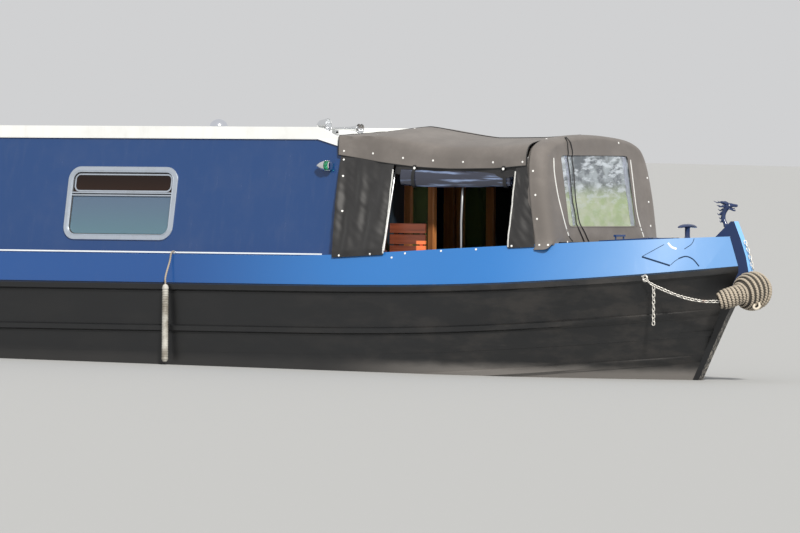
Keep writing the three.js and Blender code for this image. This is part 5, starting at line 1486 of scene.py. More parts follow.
def canopy_top():
    """The roof cloth, pulled over its hoops with slack between them and a valance along each hem."""
    grid = []
    hoops = (4.760, 5.430, 6.040)
    rear, front = ROOF_CLOTH[0][0], ROOF_CLOTH[-1][0]
    for i in range(97):
        x = rear + (front - rear) * i / 96
        half = roof_section(x)
        across = [Vector((x, -y, z)) for y, z in half] + [Vector((x, y, z)) for y, z in reversed(half[:-1])]
        line = curve_through(across, 89)
        slack = min(1, min(abs(x - hoop) for hoop in hoops) / 0.24)
        row = []
        for k, point in enumerate(line):
            s = abs(k - 44) / 44
            sag = 0.006 * slack * math.sin(math.pi * min(1, s * 1.15))
            pull = 0.0035 * rumple((x * 0.8, point.y * 2.4, point.z * 0.4), 3.2, 1.0) * slack
            hem = 0.006 * max(0, s - 0.82) / 0.18 * math.sin(x * 15 + (2 if point.y > 0 else 0))
            row.append(point + Vector((0, hem * (1 if point.y > 0 else -1), -sag + pull - 0.0015)))
        grid.append(row)
    piece = thin("canopy_roof_cloth", grid, settings("canopy").cloth, Vector((5.1, 0, 1.9)))
    finished(piece, "canvas", HULL, "canopy_roof")
    return grid


def front_outline(inset, x, lean, part=0.0):
    """The canopy front's outline moved inwards, at x where it is highest; part lifts its foot to the foredeck."""
    last = len(FRONT_CLOTH) - 1
    half = []
    for k, (y, z) in enumerate(FRONT_CLOTH):
        low = z + (FRONT_FOOT - z) * part if k == 0 else z - inset * 0.4 + (0.012 * part if k == 1 else 0)
        half.append((y - (inset if k < last else 0), low))
    whole = [(-y, z) for y, z in half] + [(y, z) for y, z in reversed(half[:-1])]
    return [Vector((x + (FRONT_TOP - z) * lean, y, z)) for y, z in whole]


def film_edge(centre, half_width, half_height, direction):
    """Where a ray from the window's middle leaves its rounded rectangle."""
    dy, dz = direction
    power = 26 # how square the corners are
    reach = (abs(dy / half_width) ** power + abs(dz / half_height) ** power) ** (-1 / power)
    return centre[0] + dy * reach, centre[1] + dz * reach


FILM = {"centre": (-0.028, 1.932), "half_width": 0.530, "half_height": 0.288}
FACE_X, RAKE = 6.190, 0.15


def canopy_face():
    """The front cloth: rounded returns, a raked face and a hole for the clear film."""
    rings = []
    # columns: inset, x, lean, how far the foot is lifted; the first two are the edge turned in under the roof
    for row in ((0.016, 6.054, 0.06, 0), (0.012, 6.064, 0.11, 0), (-0.001, 6.0690, 0.12, 0), (-0.002, 6.074, 0.122, 0),
                (0, 6.082, 0.126, 0), (0, 6.100, 0.133, 0), (0.002, 6.120, 0.142, 0.02), (0.006, 6.138, 0.148, 0.06),
                (0.014, 6.156, 0.15, 0.2), (0.026, 6.171, 0.15, 0.45), (0.042, 6.181, 0.15, 0.75),
                (0.060, 6.187, 0.15, 0.95), (0.075, 6.190, 0.15, 1)):
        rings.append(curve_through(front_outline(*row), 97))
    outer = rings[-1]
    centre_y, centre_z = FILM["centre"]
    loop = outer + [outer[-1].lerp(outer[0], k / 40) for k in range(1, 40)]
    hole = []
    for point in loop:
        dy, dz = point.y - centre_y, point.z - centre_z
        size = math.hypot(dy, dz)
        y, z = film_edge(FILM["centre"], FILM["half_width"], FILM["half_height"], (dy / size, dz / size))
        hole.append(Vector((FACE_X + (FRONT_TOP - z) * RAKE, y, z)))
    vertices = [p for ring in rings[:-1] for p in ring]
    faces = []
    n = 97
    for i in range(len(rings) - 2):
        faces.extend((i * n + k, i * n + k + 1, (i + 1) * n + k + 1, (i + 1) * n + k) for k in range(n - 1))
    start = len(vertices)
    steps = 14
    m = len(loop)
    for s in range(steps + 1):
        for point, edge in zip(loop, hole):
            flat = point.lerp(edge, s / steps)
            swell = 0.010 * math.sin(math.pi * s / steps) * rumple(flat, 2.6, 5.0)
            creases_in = 0.004 * rumple((flat.y * 3, 0, flat.z * 1.2), 4.0, 9.0) * math.sin(math.pi * s / steps)
            vertices.append(flat + Vector((swell + creases_in, 0, 0)))
    for s in range(steps):
        for k in range(m):
            j = (k + 1) % m
            a, b = start + s * m, start + (s + 1) * m
            faces.append((a + k, a + j, b + j, b + k))
    last = (len(rings) - 2) * n
    faces.extend((last + k, last + k + 1, start + k + 1, start + k) for k in range(n - 1))
    piece = made("canopy_front_cloth", vertices, faces)
    with editing(piece) as shape:
        bmesh.ops.recalc_face_normals(shape, faces=shape.faces)
        if max(shape.faces, key=lambda face: face.calc_center_median().x).normal.x < 0:
            bmesh.ops.reverse_faces(shape, faces=shape.faces)
    skin = piece.modifiers.new("cloth", "SOLIDIFY")
    skin.thickness = settings("canopy").cloth
    skin.offset = -1
    applied(piece)
    smooth(piece, 60)
    finished(piece, "canvas", HULL, "canopy_front")
    return hole


def film_panel(hole):
    """The clear film welded into the front, with its pale seam and the strip along its port side."""
    cy, cz = FILM["centre"]
    wide, tall = FILM["half_width"] + 0.012, FILM["half_height"] + 0.012

    def at(y, z, lift):
        bow = 0.006 * rumple((y, z, 0), 2.4, 3.0) + 0.0035 * rumple((y * 2, z * 3.5, 0), 2.6, 7.0)
        bow += 0.0022 * rumple((y + z, (z - y) * 2.5, 0), 5.2, 2.0)
        return Vector((FACE_X + (FRONT_TOP - z) * RAKE - 0.0085 + bow + lift, y, z))

    grid = [[at(cy + wide * (2 * j / 72 - 1), cz + tall * (2 * i / 56 - 1), 0) for j in range(73)] for i in range(57)]
    film = thin("canopy_front_film", grid, 0.0008, Vector((5.5, 0, 1.9)))
    finished(film, "film")
    normal = Vector((1, 0, RAKE)).normalized()
    spaced = curve_through(hole + hole[:1], 260)
    seam = ribbon("film_seam", [p + normal * 0.001 for p in spaced], [normal] * len(spaced), 0.010, 0.0016)
    finished(seam, "canvas")
    for name, y0, slant, width in (("film_strip_port", 0.452, 0.010, 0.062),
                                   ("film_strip_starboard", -0.462, 0, 0.040)):
        line = [at(y0 + slant * (1 - k / 40), cz - tall + 0.022 + (2 * tall - 0.044) * k / 40, 0.0025)
                for k in range(41)]
        finished(ribbon(name, line, [normal] * len(line), width, 0.0012), "film_pale")


def hem_at(x):
    """Half breadth and height of the canopy roof's hem."""
    return roof_section(min(max(x, ROOF_CLOTH[0][0]), ROOF_CLOTH[-1][0]))[0]


def gunwale_at(x):
    """Height of the side deck, level to x 4.2 and rising to the bow."""
    return SIDE_FOOT[1] + max(0, x - 4.2) * 0.194 / 3.36


def side_rows(head, foot, band, columns, rows, fold):
    """Points of a side cloth from the roof's hem to outside the band: head and foot are its ends in x."""
    grid = []
    feet = []
    for j in range(columns + 1):
        x = foot[0] + (foot[1] - foot[0]) * j / columns
        hit = band.ray_cast(Vector((x, -2, gunwale_at(x) - 0.012)), Vector((0, 1, 0)))[0]
        feet.append(-hit.y + 0.010)
    for i in range(rows + 1):
        v = i / rows
        row = []
        for j in range(columns + 1):
            u = j / columns
            x_head = head[0] + (head[1] - head[0]) * u
            x_foot = foot[0] + (foot[1] - foot[0]) * u
            x = x_head + (x_foot - x_head) * v
            hem_y, hem_z = hem_at(x_head)
            deck = gunwale_at(x_foot)
            z = hem_z - 0.0005 + (deck - 0.020 - hem_z) * v
            lap = min(1, (hem_z - z) / (hem_z - deck - 0.030))
            y = hem_y - 0.004 + (feet[j] - hem_y + 0.004) * lap
            out, along = fold(u, v)
            row.append(Vector((x + along, -(y + out), z)))
        grid.append(row)
    return grid


def hanging_folds(u, v):
    """Deep upright folds that slant aft as they fall, crossed by soft diagonal pulls, with none along the hems."""
    free = math.sin(math.pi * min(1, max(0, v * 1.02))) ** 0.5
    bend = 0.10 * rumple((v * 1.5, 0, 0), 1.0, 5.0)
    deep = 0.017 * math.sin(2 * math.pi * (u * 2.3 + v * 0.55 + bend) + 0.6) * (0.55 + 0.45 * v)
    narrow = 0.006 * math.sin(2 * math.pi * (u * 4.6 - v * 0.35 + bend * 2) + 2.1) * (1 - u) ** 0.5
    pull = 0.010 * rumple((u * 1.6 - v * 2.4, u + v * 1.0, 0), 2.4, 11.0)
    fine = 0.0045 * rumple((u * 5 - v * 9, v * 3 + u, 0), 1.9, 4.0)
    return (deep + narrow + pull + fine) * free + 0.006, 0.004 * rumple((0, v * 3, 0), 2.0, 2.0)


def taut_folds(u, v):
    free = math.sin(math.pi * min(1, v)) ** 0.5
    pull = 0.008 * rumple((u * 1.4 - v * 3.0, v * 1.2 + u * 0.6, 0), 2.2, 6.0)
    fine = 0.004 * rumple((u * 3 - v * 8, v * 3, 0), 2.0, 3.0)
    return (pull + fine + 0.004 * math.sin(9 * u + 5 * v)) * free + 0.004, 0


def side_cloth(name, node, head, foot, fold, columns, band, port=False):
    rows = 64
    grid = side_rows(head, foot, band, columns, rows, fold)
    if port:
        grid = [[MIRROR @ point for point in row] for row in grid]
    piece = thin(name, grid, 0.003, Vector((sum(head) / 2, 0, 1.8)))
    finished(piece, "side_cloth", HULL, node)
    return grid


def edge_zip(name, line, inward):
    """A white zip along the edge of a cloth: tape and teeth; inward points across it, on the cloth."""
    width = settings("canopy").zip_width
    places = curve_through(line, 60)
    normals = []
    for a, b in zip(places, places[1:] + places[-1:]):
        along = (b - a) if (b - a).length else places[-1] - places[-2]
        normals.append(along.cross(inward).normalized())
    outward_turn = 1 if normals[len(normals) // 2].y * places[30].y > 0 else -1
    normals = [normal * outward_turn for normal in normals]
    tape = ribbon(name + "_tape", [p + n * 0.001 for p, n in zip(places, normals)], normals, width, 0.003)
    finished(tape, "zip_white")
    spots = curve_through(line, int(path_length(places) / 0.006))
    teeth = []
    for k, (spot, after) in enumerate(zip(spots, spots[1:])):
        normal = normals[min(len(normals) - 1, k * len(normals) // len(spots))]
        along = (after - spot).normalized()
        teeth.append(axes_at(spot + normal * 0.004, along, normal.cross(along).normalized(), normal))
    tooth = slab("tooth", (-0.0014, -0.004, -0.001), (0.0014, 0.004, 0.0012))
    finished(repeated(name + "_teeth", tooth, teeth, "zip_white"))


STUDS = {
    # pixels of the studs on each cloth
    "canopy_roof_cloth": [(344, 151), (373, 153.5), (403, 158), (433, 160.6), (463, 162), (493, 162.4), (522.5, 162),
                          (414.6, 128.5)],
    "canopy_aft_curtain": [(343.8, 159.6), (343.0, 176), (342.2, 211), (338.8, 255.5), (369.8, 254)],
    "canopy_fore_curtain": [(511.5, 246)],
    "topside_band_starboard_dressed": [(391.6, 257.6), (405, 253.4), (441, 251), (476, 249.4)],
    "canopy_front_cloth": [(533, 171), (535.4, 195), (537, 219), (539.3, 245), (548, 245), (558, 245),
                           (567.5, 246), (647.2, 178), (648.6, 202), (650.6, 226), (618.6, 143), (545, 137.5)],
}


SEAT = 0.0005 # how far a stud is set into the cloth


def stud_places():
    """Where the photo shows studs, and along the port valance and the port side's foot, where it doesn't."""
    places = []
    for name, pixels in STUDS.items():
        tree = tree_of(name)
        for px, py in pixels:
            place, normal = seen_at(tree, px, py)
            places.append(facing(normal, place - normal * SEAT))
    roof, side = tree_of("canopy_roof_cloth"), tree_of("canopy_port_curtain")
    rows = [(roof, x, hem_at(x)[1] + 0.045) for x in (4.31, 4.60, 4.88, 5.16, 5.45, 5.73, 6.01)]
    rows += [(side, x, gunwale_at(x) + 0.006) for x in (4.42, 4.70, 5.00, 5.30, 5.60, 5.90)]
    for tree, x, z in rows:
        hit, normal, _, _ = tree.ray_cast(Vector((x, 2, z)), Vector((0, -1, 0)))
        places.append(facing(normal, hit - normal * SEAT))
    return places


def studs():
    size = settings("canopy").stud
    profile = [(0, 0), (size, 0), (size * 1.04, size * 0.14), (size * 0.94, size * 0.34), (size * 0.6, size * 0.46),
               (size * 0.25, size * 0.42), (0, size * 0.36)]
    cap = lathe("stud", profile, Matrix(), 20)
    finished(repeated("canopy_studs", cap, stud_places(), "stud_white"))


ROLL = {"from": 4.868, "length": 1.024, "y": -0.777, "z": 2.026} # the rolled window under the starboard hem


def rolled_film():
    """The side window's clear film, rolled up under the hem."""
    turns, film_points = 2.1, 130
    grid = []
    for i in range(61):
        t = i / 60
        x = ROLL["from"] + ROLL["length"] * t
        sag = 0.014 * math.sin(math.pi * t)
        row = []
        for k in range(film_points + 1):
            s = k / film_points
            a = math.pi / 2 + 2 * math.pi * turns * s
            size = 1 - 0.42 * s + 0.05 * rumple((t * 6, s * 4, 0), 1.0, 8.0) * (1 - s)
            ripple = 0.0035 * rumple((t * 5 + s, s * 7, 1), 1.6, 12.0)
            row.append(Vector((x + 0.01 * (s - 0.5), ROLL["y"] + (0.026 * size + ripple) * math.cos(a),
                               ROLL["z"] - sag + 0.069 * size * math.sin(a) + ripple)))
        grid.append(row)
    film = thin("canopy_rolled_film", grid, 0.0008, Vector((5.38, ROLL["y"], ROLL["z"])))
    finished(film, "rolled_film", HULL, "canopy_rolled_window")


def window_header():
    """The strip of cloth over the opening, which the rolled window hangs from."""
    grid = []
    for i in range(61):
        x = 4.800 + 1.180 * i / 60
        y, z = hem_at(x)
        drop = 0.075 + 0.012 * math.sin(math.pi * i / 60)
        grid.append([Vector((x, -(y - 0.008 - 0.004 * s + 0.004 * rumple((x * 2, s * 2, 0), 3.0, 3.0)),
                             z - 0.003 - drop * s)) for s in (k / 12 for k in range(13))])
    header = thin("canopy_window_header", grid, 0.002, Vector((5.38, 0, 2.0)))
    finished(header, "side_cloth")


def straps():
    """Two straps with a stud each, from the hem round the rolled window."""
    for k, x in enumerate((4.985, 5.845)):
        hem = hem_at(x)
        middle = ROLL["z"] - 0.014 * math.sin(math.pi * (x - ROLL["from"]) / ROLL["length"])
        loop = [(x, -hem[0] - 0.002, hem[1] + 0.012), (x, -hem[0] - 0.006, hem[1] - 0.020)]
        for way, degrees in ((-1, range(60, -91, -10)), (1, range(-80, 71, 10))):
            loop += [(x, ROLL["y"] + way * 0.032 * math.cos(a), middle + 0.074 * math.sin(a))
                     for a in (math.radians(d) for d in degrees)]
        places = curve_through(loop, 70)
        rows = [[p + Vector((t * 0.030 - 0.015, 0, 0)) for t in (0, 0.25, 0.5, 0.75, 1)] for p in places]
        strap = thin(f"canopy_strap_{k}", rows, 0.0018, Vector((x, ROLL["y"], middle)))
        finished(strap, "piping")
        hit, normal, _, _ = tree_of(strap.name).ray_cast(Vector((x, -2, hem[1] - 0.012)), Vector((0, 1, 0)))
        cap = lathe(f"strap_stud_{k}", [(0, 0), (0.011, 0), (0.0112, 0.002), (0.009, 0.0042), (0, 0.005)],
                    facing(normal, hit), 24)
        finished(cap, "stud_white")


FRONT_ZIPS = {
    # pixels along the zips over the front, each with its finish, point count and width
    "front_zip_starboard": ("zip_white", 60, 0.014, [(553.8, 158.0), (554.4, 172.3), (556.6, 187.5), (559.7, 202.7),
                                                     (563.8, 218.8), (568.7, 235.7)]),
    "front_zip_port": ("zip_white", 60, 0.014, [(630.4, 159.8), (632.7, 178.6), (634.6, 194.6), (637.0, 212.5),
                                                (640.0, 225.0), (643.7, 237.0)]),
    "front_zip_tail": ("piping", 12, 0.011, [(568.7, 235.7), (570.4, 238.6), (572.8, 241.4)]),
}


def canopy_trim(roof_grid):
    """Black piping along the ridge, the hems and the front seam, and white zips on the front."""
    lines = [
        [row[44] + Vector((0, 0, 0.002)) for row in roof_grid],
        [row[0] for row in roof_grid],
        [row[-1] for row in roof_grid],
        [p + Vector((0.002, 0, 0)) for p in roof_grid[-1]],
        roof_grid[0],
    ]
    pipes = [tube("piping", curve_through(line, 90), 0.0042, 8) for line in lines]
    finished(joined("canopy_piping", pipes), "piping")
    front = tree_of("canopy_front_cloth", "canopy_front_film")
    for name, (finish, count, width, pixels) in FRONT_ZIPS.items():
        finished(ribbon_seen(name, front, pixels, count, width, 0.003), finish)


TIES = {
    # pixels along the two thin cords that hang over the front, from the ridge down
    "canopy_tie_1": [(565.6, 138.0), (568.7, 141.0), (571.3, 150.0), (572.7, 169.6), (574.5, 196.4), (577.1, 214.3),
                     (581.6, 227.7), (588.2, 241.6)],
    "canopy_tie_2": [(564.6, 138.4), (566.4, 141.5), (567.4, 152.0), (569.2, 176.0), (571.6, 200.0), (574.3, 214.3),
                     (577.6, 227.7), (583.4, 241.6)],
}


def ties():
    """Two thin cords that hang from the ridge over the front."""
    front = tree_of("canopy_front_cloth", "canopy_front_film")
    radius, clear = 0.0042, 0.0045 # clear is the room between a cord and the cloth
    for name, pixels in TIES.items():
        found = [seen_at(front, px, py) for px, py in pixels]
        rough = curve_through([place for place, _ in found], 60)
        line = []
        for place in rough:
            near, normal = front.find_nearest(place)[:2]
            turn = 1 if normal.x > 0 else -1
            line.append(near + normal * (turn * (radius + clear)))
        line = curve_through(line[::3] + [line[-1]], 90)
        cord = finished(tube(name, line, radius, 10), "piping")


class BOAT_OT_canopy(bpy.types.Operator):
    """Makes the canopy: frame, roof, front, side cloths, rolled window, zips, studs and piping"""
    bl_idname = "boat.canopy"
    bl_label = "Canopy"

    def execute(self, context):
        dressed("canopy_frame", "steel", 0.0, angle=70)
        grid = canopy_top()
        film_panel(canopy_face())
        band = tree_of("topside_band_starboard_dressed")
        aft = side_cloth("canopy_aft_curtain", "canopy_aft_flap", (4.275, 4.790), (4.346, 4.829), hanging_folds, 56,
                         band)
        fore = side_cloth("canopy_fore_curtain", "canopy_fore_flap", (5.972, 6.080), (5.958, 6.176), taut_folds, 22,
                          band)
        side_cloth("canopy_port_curtain", "canopy_port_side", (4.275, 6.076), (4.346, 6.172), taut_folds, 120, band,
                   True)
        rolled_film()
        window_header()
        straps()
        edge_zip("aft_zip", [row[-1] for row in aft][4:-1], Vector((-1, 0, 0)))
        edge_zip("fore_zip", [row[0] for row in fore][4:-1], Vector((1, 0, 0)))
        canopy_trim(grid)
        ties()
        studs()
        return {"FINISHED"}


# Bow

def swept(name, rows, sides=20):
    """A skin over ellipses along a line: each row is a point, half breadth and half height."""
    points = [Vector(row[0]) for row in rows]
    side = Vector((0, 1, 0))
    rings = []
    for i, (point, across, high) in enumerate((point, *row[1:]) for point, row in zip(points, rows)):
        along = (points[min(i + 1, len(points) - 1)] - points[max(i - 1, 0)]).normalized()
        rings.append(ring_round(point, side, along.cross(side).normalized(), across, high, sides))
    return skin(name, rings)


def figurehead():
    """A dragon's head: curved neck, skull, open jaws with teeth, horns, ears and a flowing crest."""
    def at(x, y, z):
        """A point of the head, drawn in millimetres from its foot on the stem."""
        return 7.414 + 1.04 * x / 1000, 1.25 * y / 1000, 1.654 + 1.04 * z / 1000

    neck = [(at(10, 0, 8), 0.019, 0.021), (at(2, 0, 30), 0.015, 0.017), (at(-10, 0, 58), 0.0135, 0.016),
            (at(-13, 0, 88), 0.014, 0.018), (at(-6, 0, 116), 0.016, 0.020), (at(8, 0, 140), 0.019, 0.022),
            (at(26, 0, 156), 0.023, 0.024), (at(44, 0, 164), 0.024, 0.023), (at(58, 0, 166), 0.019, 0.018),
            (at(74, 0, 166), 0.013, 0.013), (at(92, 0, 165), 0.0125, 0.012), (at(104, 0, 163), 0.0125, 0.011),
            (at(110, 0, 160), 0.007, 0.006)]
    jaw = [(at(30, 0, 146), 0.017, 0.010), (at(48, 0, 139), 0.015, 0.008), (at(68, 0, 130), 0.011, 0.0065),
           (at(86, 0, 125), 0.009, 0.0055), (at(94, 0, 126), 0.005, 0.003)]
    pieces = [swept("neck", neck), swept("jaw", jaw)]
    for sign in (-1, 1):
        horn_line = curve_through([at(24, 13 * sign, 176), at(-14, 18 * sign, 193), at(-52, 21 * sign, 186),
                                   at(-84, 24 * sign, 200)], 16)
        pieces.append(tube("horn", horn_line, [0.0085 * (1 - k / 17) + 0.0008 for k in range(16)], 10))
        ear = curve_through([at(14, 18 * sign, 160), at(-8, 25 * sign, 158), at(-30, 27 * sign, 150)], 9)
        pieces.append(tube("ear", ear, [0.004, 0.0085, 0.0105, 0.0105, 0.009, 0.007, 0.005, 0.003, 0.001], 10))
        pieces.append(lathe("brow", [(0, -0.006), (0.006, -0.004), (0.008, 0), (0.005, 0.004), (0, 0.005)],
                            facing((0.3, sign, 0.5), at(46, 19 * sign, 176)), 14))
        pieces.append(lathe("nostril", [(0, -0.004), (0.005, -0.002), (0.006, 0), (0.003, 0.003), (0, 0.003)],
                            facing((0.5, sign, 0.6), at(101, 8 * sign, 171)), 12))
        for k, x in enumerate((62, 74, 86, 97)):
            tip = 152 - 3 * (k % 2)
            pieces.append(tube("tooth", [at(x, 8 * sign, 159), at(x + 1, 8 * sign, tip)], [0.0028, 0.0006], 8))
            pieces.append(tube("tooth", [at(x - 10, 7 * sign, 131 - k), at(x - 9, 7 * sign, 142 - k)],
                               [0.0026, 0.0006], 8))
    mane = [(-8, 172, -48, 186), (-14, 154, -66, 160), (-22, 132, -62, 130), (-26, 108, -60, 96), (-24, 84, -52, 66),
            (-18, 60, -40, 40)]
    for k, (x0, z0, x1, z1) in enumerate(mane):
        for sign in ((-1, 1) if k % 2 else (0,)):
            curl = curve_through([at(x0 + 12, 0, z0), at(x0, 5 * sign, z0 + 4), at((x0 + x1) / 2, 9 * sign, z1 - 4),
                                  at(x1, 11 * sign, z1 + 8)], 12)
            pieces.append(tube("mane", curl, [0.009 * (1 - t / 12.5) + 0.001 for t in range(12)], 8))
    tongue = curve_through([at(44, 0, 147), at(70, 0, 142), at(90, 0, 146)], 10)
    pieces.append(tube("tongue", tongue, [0.004] * 9 + [0.001], 8))
    pieces.append(swept("foot", [(at(24, 0, 0), 0.024, 0.022), (at(16, 0, 6), 0.023, 0.022),
                                 (at(8, 0, 14), 0.018, 0.019)]))
    head = joined("figurehead_carved", pieces)
    fuse = head.modifiers.new("fuse", "REMESH")
    fuse.mode = "VOXEL"
    fuse.voxel_size = 0.0013
    soft = head.modifiers.new("soften", "SMOOTH")
    soft.factor, soft.iterations = 0.5, 3
    applied(head)
    all_smooth(head)
    finished(head, "navy_painted_shade", HULL, "figurehead")
    eyes = [lathe("eye", [(0, -0.003), (0.0042, -0.001), (0.0048, 0.001), (0.003, 0.0036), (0, 0.0045)],
                  facing((0.35, sign, 0.15), at(52, 20.5 * sign, 167)), 16) for sign in (-1, 1)]
    finished(joined("figurehead_eyes", eyes), "line_paint")


def t_stud():
    """A mooring stud: a flanged post under a domed bar that thins to its ends."""
    x, sides = 7.070, 20
    deck = gunwale_at(x) - 0.004
    top = deck + 0.102
    post = [(0, -0.002), (0.048, 0.000), (0.048, 0.007), (0.046, 0.0095), (0.030, 0.0105), (0.023, 0.016),
            (0.021, 0.026), (0.021, 0.088), (0.026, 0.098), (0, 0.100)]
    rings = []
    for t in (k / 32 * 2 - 1 for k in range(33)):
        swell = math.sqrt(max(0.0, 1 - abs(t) ** 3.2))
        point = Vector((x, 0.142 * t, top + 0.004 - 0.012 * t * t))
        rings.append([point + Vector((0.030 * swell * math.cos(a), 0,
                                      (0.0185 if math.sin(a) > 0 else 0.010) * swell * math.sin(a)))
                      for a in angles(sides)])
    bar = smooth(skin("t_bar", rings), 60)
    stud = joined("t_stud_cast", [bar, lathe("t_post", post, Matrix.Translation((x, 0, deck)), 40)])
    finished(stud, "navy_painted_shade", HULL, "t_stud")


def chain_links(name, lines, node):
    """Welded links along lines; every other one is turned a quarter."""
    rope = settings("rope")
    long, wire = rope.link, rope.wire / 2
    bend = 0.0105 # radius of a link's ends
    path = [Vector(((long / 2 - 0.0148) * (1 if math.cos(a) > 0 else -1) + bend * math.cos(a), bend * math.sin(a), 0))
            for a in angles(32)]
    item = tube("link", path, wire, 8, True)
    places = []
    pitch = long - wire * 2 - 0.0035
    for line in lines:
        count = max(2, round(path_length(curve_through(line, 200)) / pitch))
        spots = curve_through(line, count + 1)
        for k in range(count):
            along = (spots[k + 1] - spots[k]).normalized()
            turn = along.to_track_quat("X", "Z").to_matrix().to_4x4()
            quarter = math.radians(45 + 90 * (k % 2) + 8 * math.sin(k * 2.3))
            places.append(Matrix.Translation((spots[k] + spots[k + 1]) / 2) @ turn @ Matrix.Rotation(quarter, 4, "X"))
    finished(repeated(name, item, places, "chain"), replaces=node)


def chains():
    eye = (7.016, -0.571, 1.238)
    sag = [eye, (7.090, -0.559, 1.188), (7.256, -0.453, 1.106), (7.396, -0.345, 1.066), (7.5224, -0.271, 1.064)]
    hanging = [(7.090, -0.562, 1.180), (7.092, -0.564, 1.058), (7.092, -0.564, 0.872)]
    for side, sign in SIDES.items():
        lines = [[(x, -sign * y, z) for x, y, z in line] for line in (sag, hanging)]
        chain_links(f"bow_chain_{side}", lines, f"fender_chain_{side}")
        eye_at = Vector((eye[0], -sign * eye[1], eye[2] + 0.004))
        ring = [eye_at + Vector((0.021 * math.cos(a), 0.004 * sign * math.cos(a), 0.024 * math.sin(a)))
                for a in angles(24)]
        shackle = tube("shackle", ring, 0.0075, 10, True)
        pin = tube("pin", [eye_at + Vector((-0.018, y, 0.016)) for y in (0.016, -0.016)], 0.007, 12)
        finished(joined(f"bow_shackle_{side}", [shackle, pin]), "chain")
    chain_links("bow_chain_top", [[(7.598, 0, 1.548), (7.642, 0, 1.440), (7.677, 0, 1.316)]], "fender_chain_top")


def grooves(piece, values):
    """Keeps how deep in a groove each of a rope's vertices lies, for its finish."""
    layer = piece.data.attributes.new("groove", "FLOAT", "POINT")
    for k, value in enumerate(values):
        layer.data[k].value = value


def strand_item():
    """A short twist of rope with rounded ends, a few dozen faces, lying along X."""
    half, radius, sides = 0.0195, 0.0098, 10
    rings, depths = [], []
    for t in (k / 6 * 2 - 1 for k in range(7)):
        size = math.sqrt(max(0.02, 1 - t ** 4))
        rings.append(ring_round(Vector((half * t, 0, -0.004 * t * t)), Vector((0, 1, 0)), Vector((0, 0, 1)),
                                radius * size, radius * size, sides))
        # The depths paint shade on the strand's side towards the fender and at its ends.
        depths.extend(max(0.0, min(1.0, 0.55 - 0.75 * math.sin(a) + (1 - size) * 0.5)) for a in angles(sides))
    item = skin("strand", rings)
    grooves(item, depths)
    all_smooth(item)
    return item


def hitching(name, rings, hull, clear):
    """Rope hitched in rings over a fender, where it lies clear of the hull.

    Each ring is (centre, side, up, radius for a direction).
    """
    pitch = 0.023
    places = []
    for number, (centre, side, up, reach) in enumerate(rings):
        girth = sum(reach(math.cos(a), math.sin(a)) for a in angles(16)) / 16
        count = max(8, round(2 * math.pi * girth / pitch))
        axis_along = side.cross(up)
        for k in range(count):
            a = 2 * math.pi * (k + 0.5 * (number % 2)) / count
            c, s = math.cos(a), math.sin(a)
            out = side * c + up * s
            around = up * c - side * s
            radius = reach(c, s)
            ahead = reach(math.cos(a + 0.1), math.sin(a + 0.1))
            around = (around * (radius * 0.1) + out * (ahead - radius)).normalized()
            place = centre + out * (radius - 0.007)
            near, normal = hull.find_nearest(place)[:2]
            if (place - near).dot(normal) <= clear:
                continue
            lying = (around * 0.80 + axis_along * 0.60).normalized()
            normal = axis_along.cross(around)
            normal = (out if normal.dot(out) < 0 else normal).normalized()
            normal = (normal - lying * normal.dot(lying)).normalized()
            places.append(axes_at(place, lying, normal.cross(lying), normal))
    return finished(repeated(name, strand_item(), places, "rope"))


def fender_core(node, middle):
    """The core that shows between the turns of rope, painted near black as the shade between them, a little smaller
    than the CAD fender.
    """
    core = dressed(node, "rope_core_painted_shade", 0.0, angle=60)
    core.data.transform(Matrix.Translation(middle) @ Matrix.Scale(0.965, 4) @ Matrix.Translation(-middle))


def bow_fender():
    """Rope hitched over a button on the stem and an arm along each side of the bow."""
    x, z = 7.670, 1.148
    ball, ball_radius, arm_radius = Vector((x, 0, z)), 0.156, 0.080
    half = [(x - 0.142, -0.262, z - 0.078), (x - 0.095, -0.222, z - 0.058), (x - 0.040, -0.150, z - 0.030),
            (x, -0.040, z - 0.004)]
    path = half + [(px, -py, pz) for px, py, pz in reversed(half)]
    spots = curve_through(path, int(path_length(curve_through(path, 400)) / settings("rope").strand) + 1)
    rings = []
    for k, (centre, side, up) in enumerate(frames_along(spots)):
        end = min(k, len(spots) - 1 - k)
        near = arm_radius * (0.80 if end == 0 else 0.95 if end == 1 else 1)

        def reach(c, s, centre=centre, side=side, up=up, near=near):
            out = side * c + up * s
            b = out.dot(centre - ball)
            inside = b * b - ((centre - ball).length_squared - ball_radius ** 2)
            far = -b + math.sqrt(inside) if inside > 0 else 0
            return max(near, far)
        rings.append((centre, side, up, reach))
    hull = tree_of("hull_bow", "stem", "topside_band_starboard", "topside_band_port")
    hitching("bow_fender_rope", rings, hull, 0.010)
    fender_core("bow_fender", ball)
    loop = curve_through([(7.768, -0.062, 1.056), (7.782, -0.078, 1.024), (7.762, -0.098, 1.006),
                          (7.738, -0.096, 1.022), (7.744, -0.078, 1.046)], 26)
    finished(tube("bow_fender_loop", loop, 0.010, 10), "rope_pale")


def stern_fender():
    """Rope hitched over the round fender on the counter."""
    start, z = -7.561, 0.900
    profile = [(0.000, 0.118), (0.060, 0.141), (0.110, 0.146), (0.160, 0.145), (0.205, 0.136), (0.240, 0.121),
               (0.262, 0.100), (0.280, 0.070), (0.290, 0.040)]
    rings = []
    for point in curve_through([(-a, 0, r) for a, r in profile], 15):
        rings.append((Vector((start + point.x, 0, z)), Vector((0, 1, 0)), Vector((0, 0, 1)),
                      lambda c, s, radius=point.z - 0.002: radius))
    hitching("stern_fender_rope", rings, tree_of("hull_stern"), 0.008)
    fender_core("stern_fender", Vector((-7.62, 0, z)))


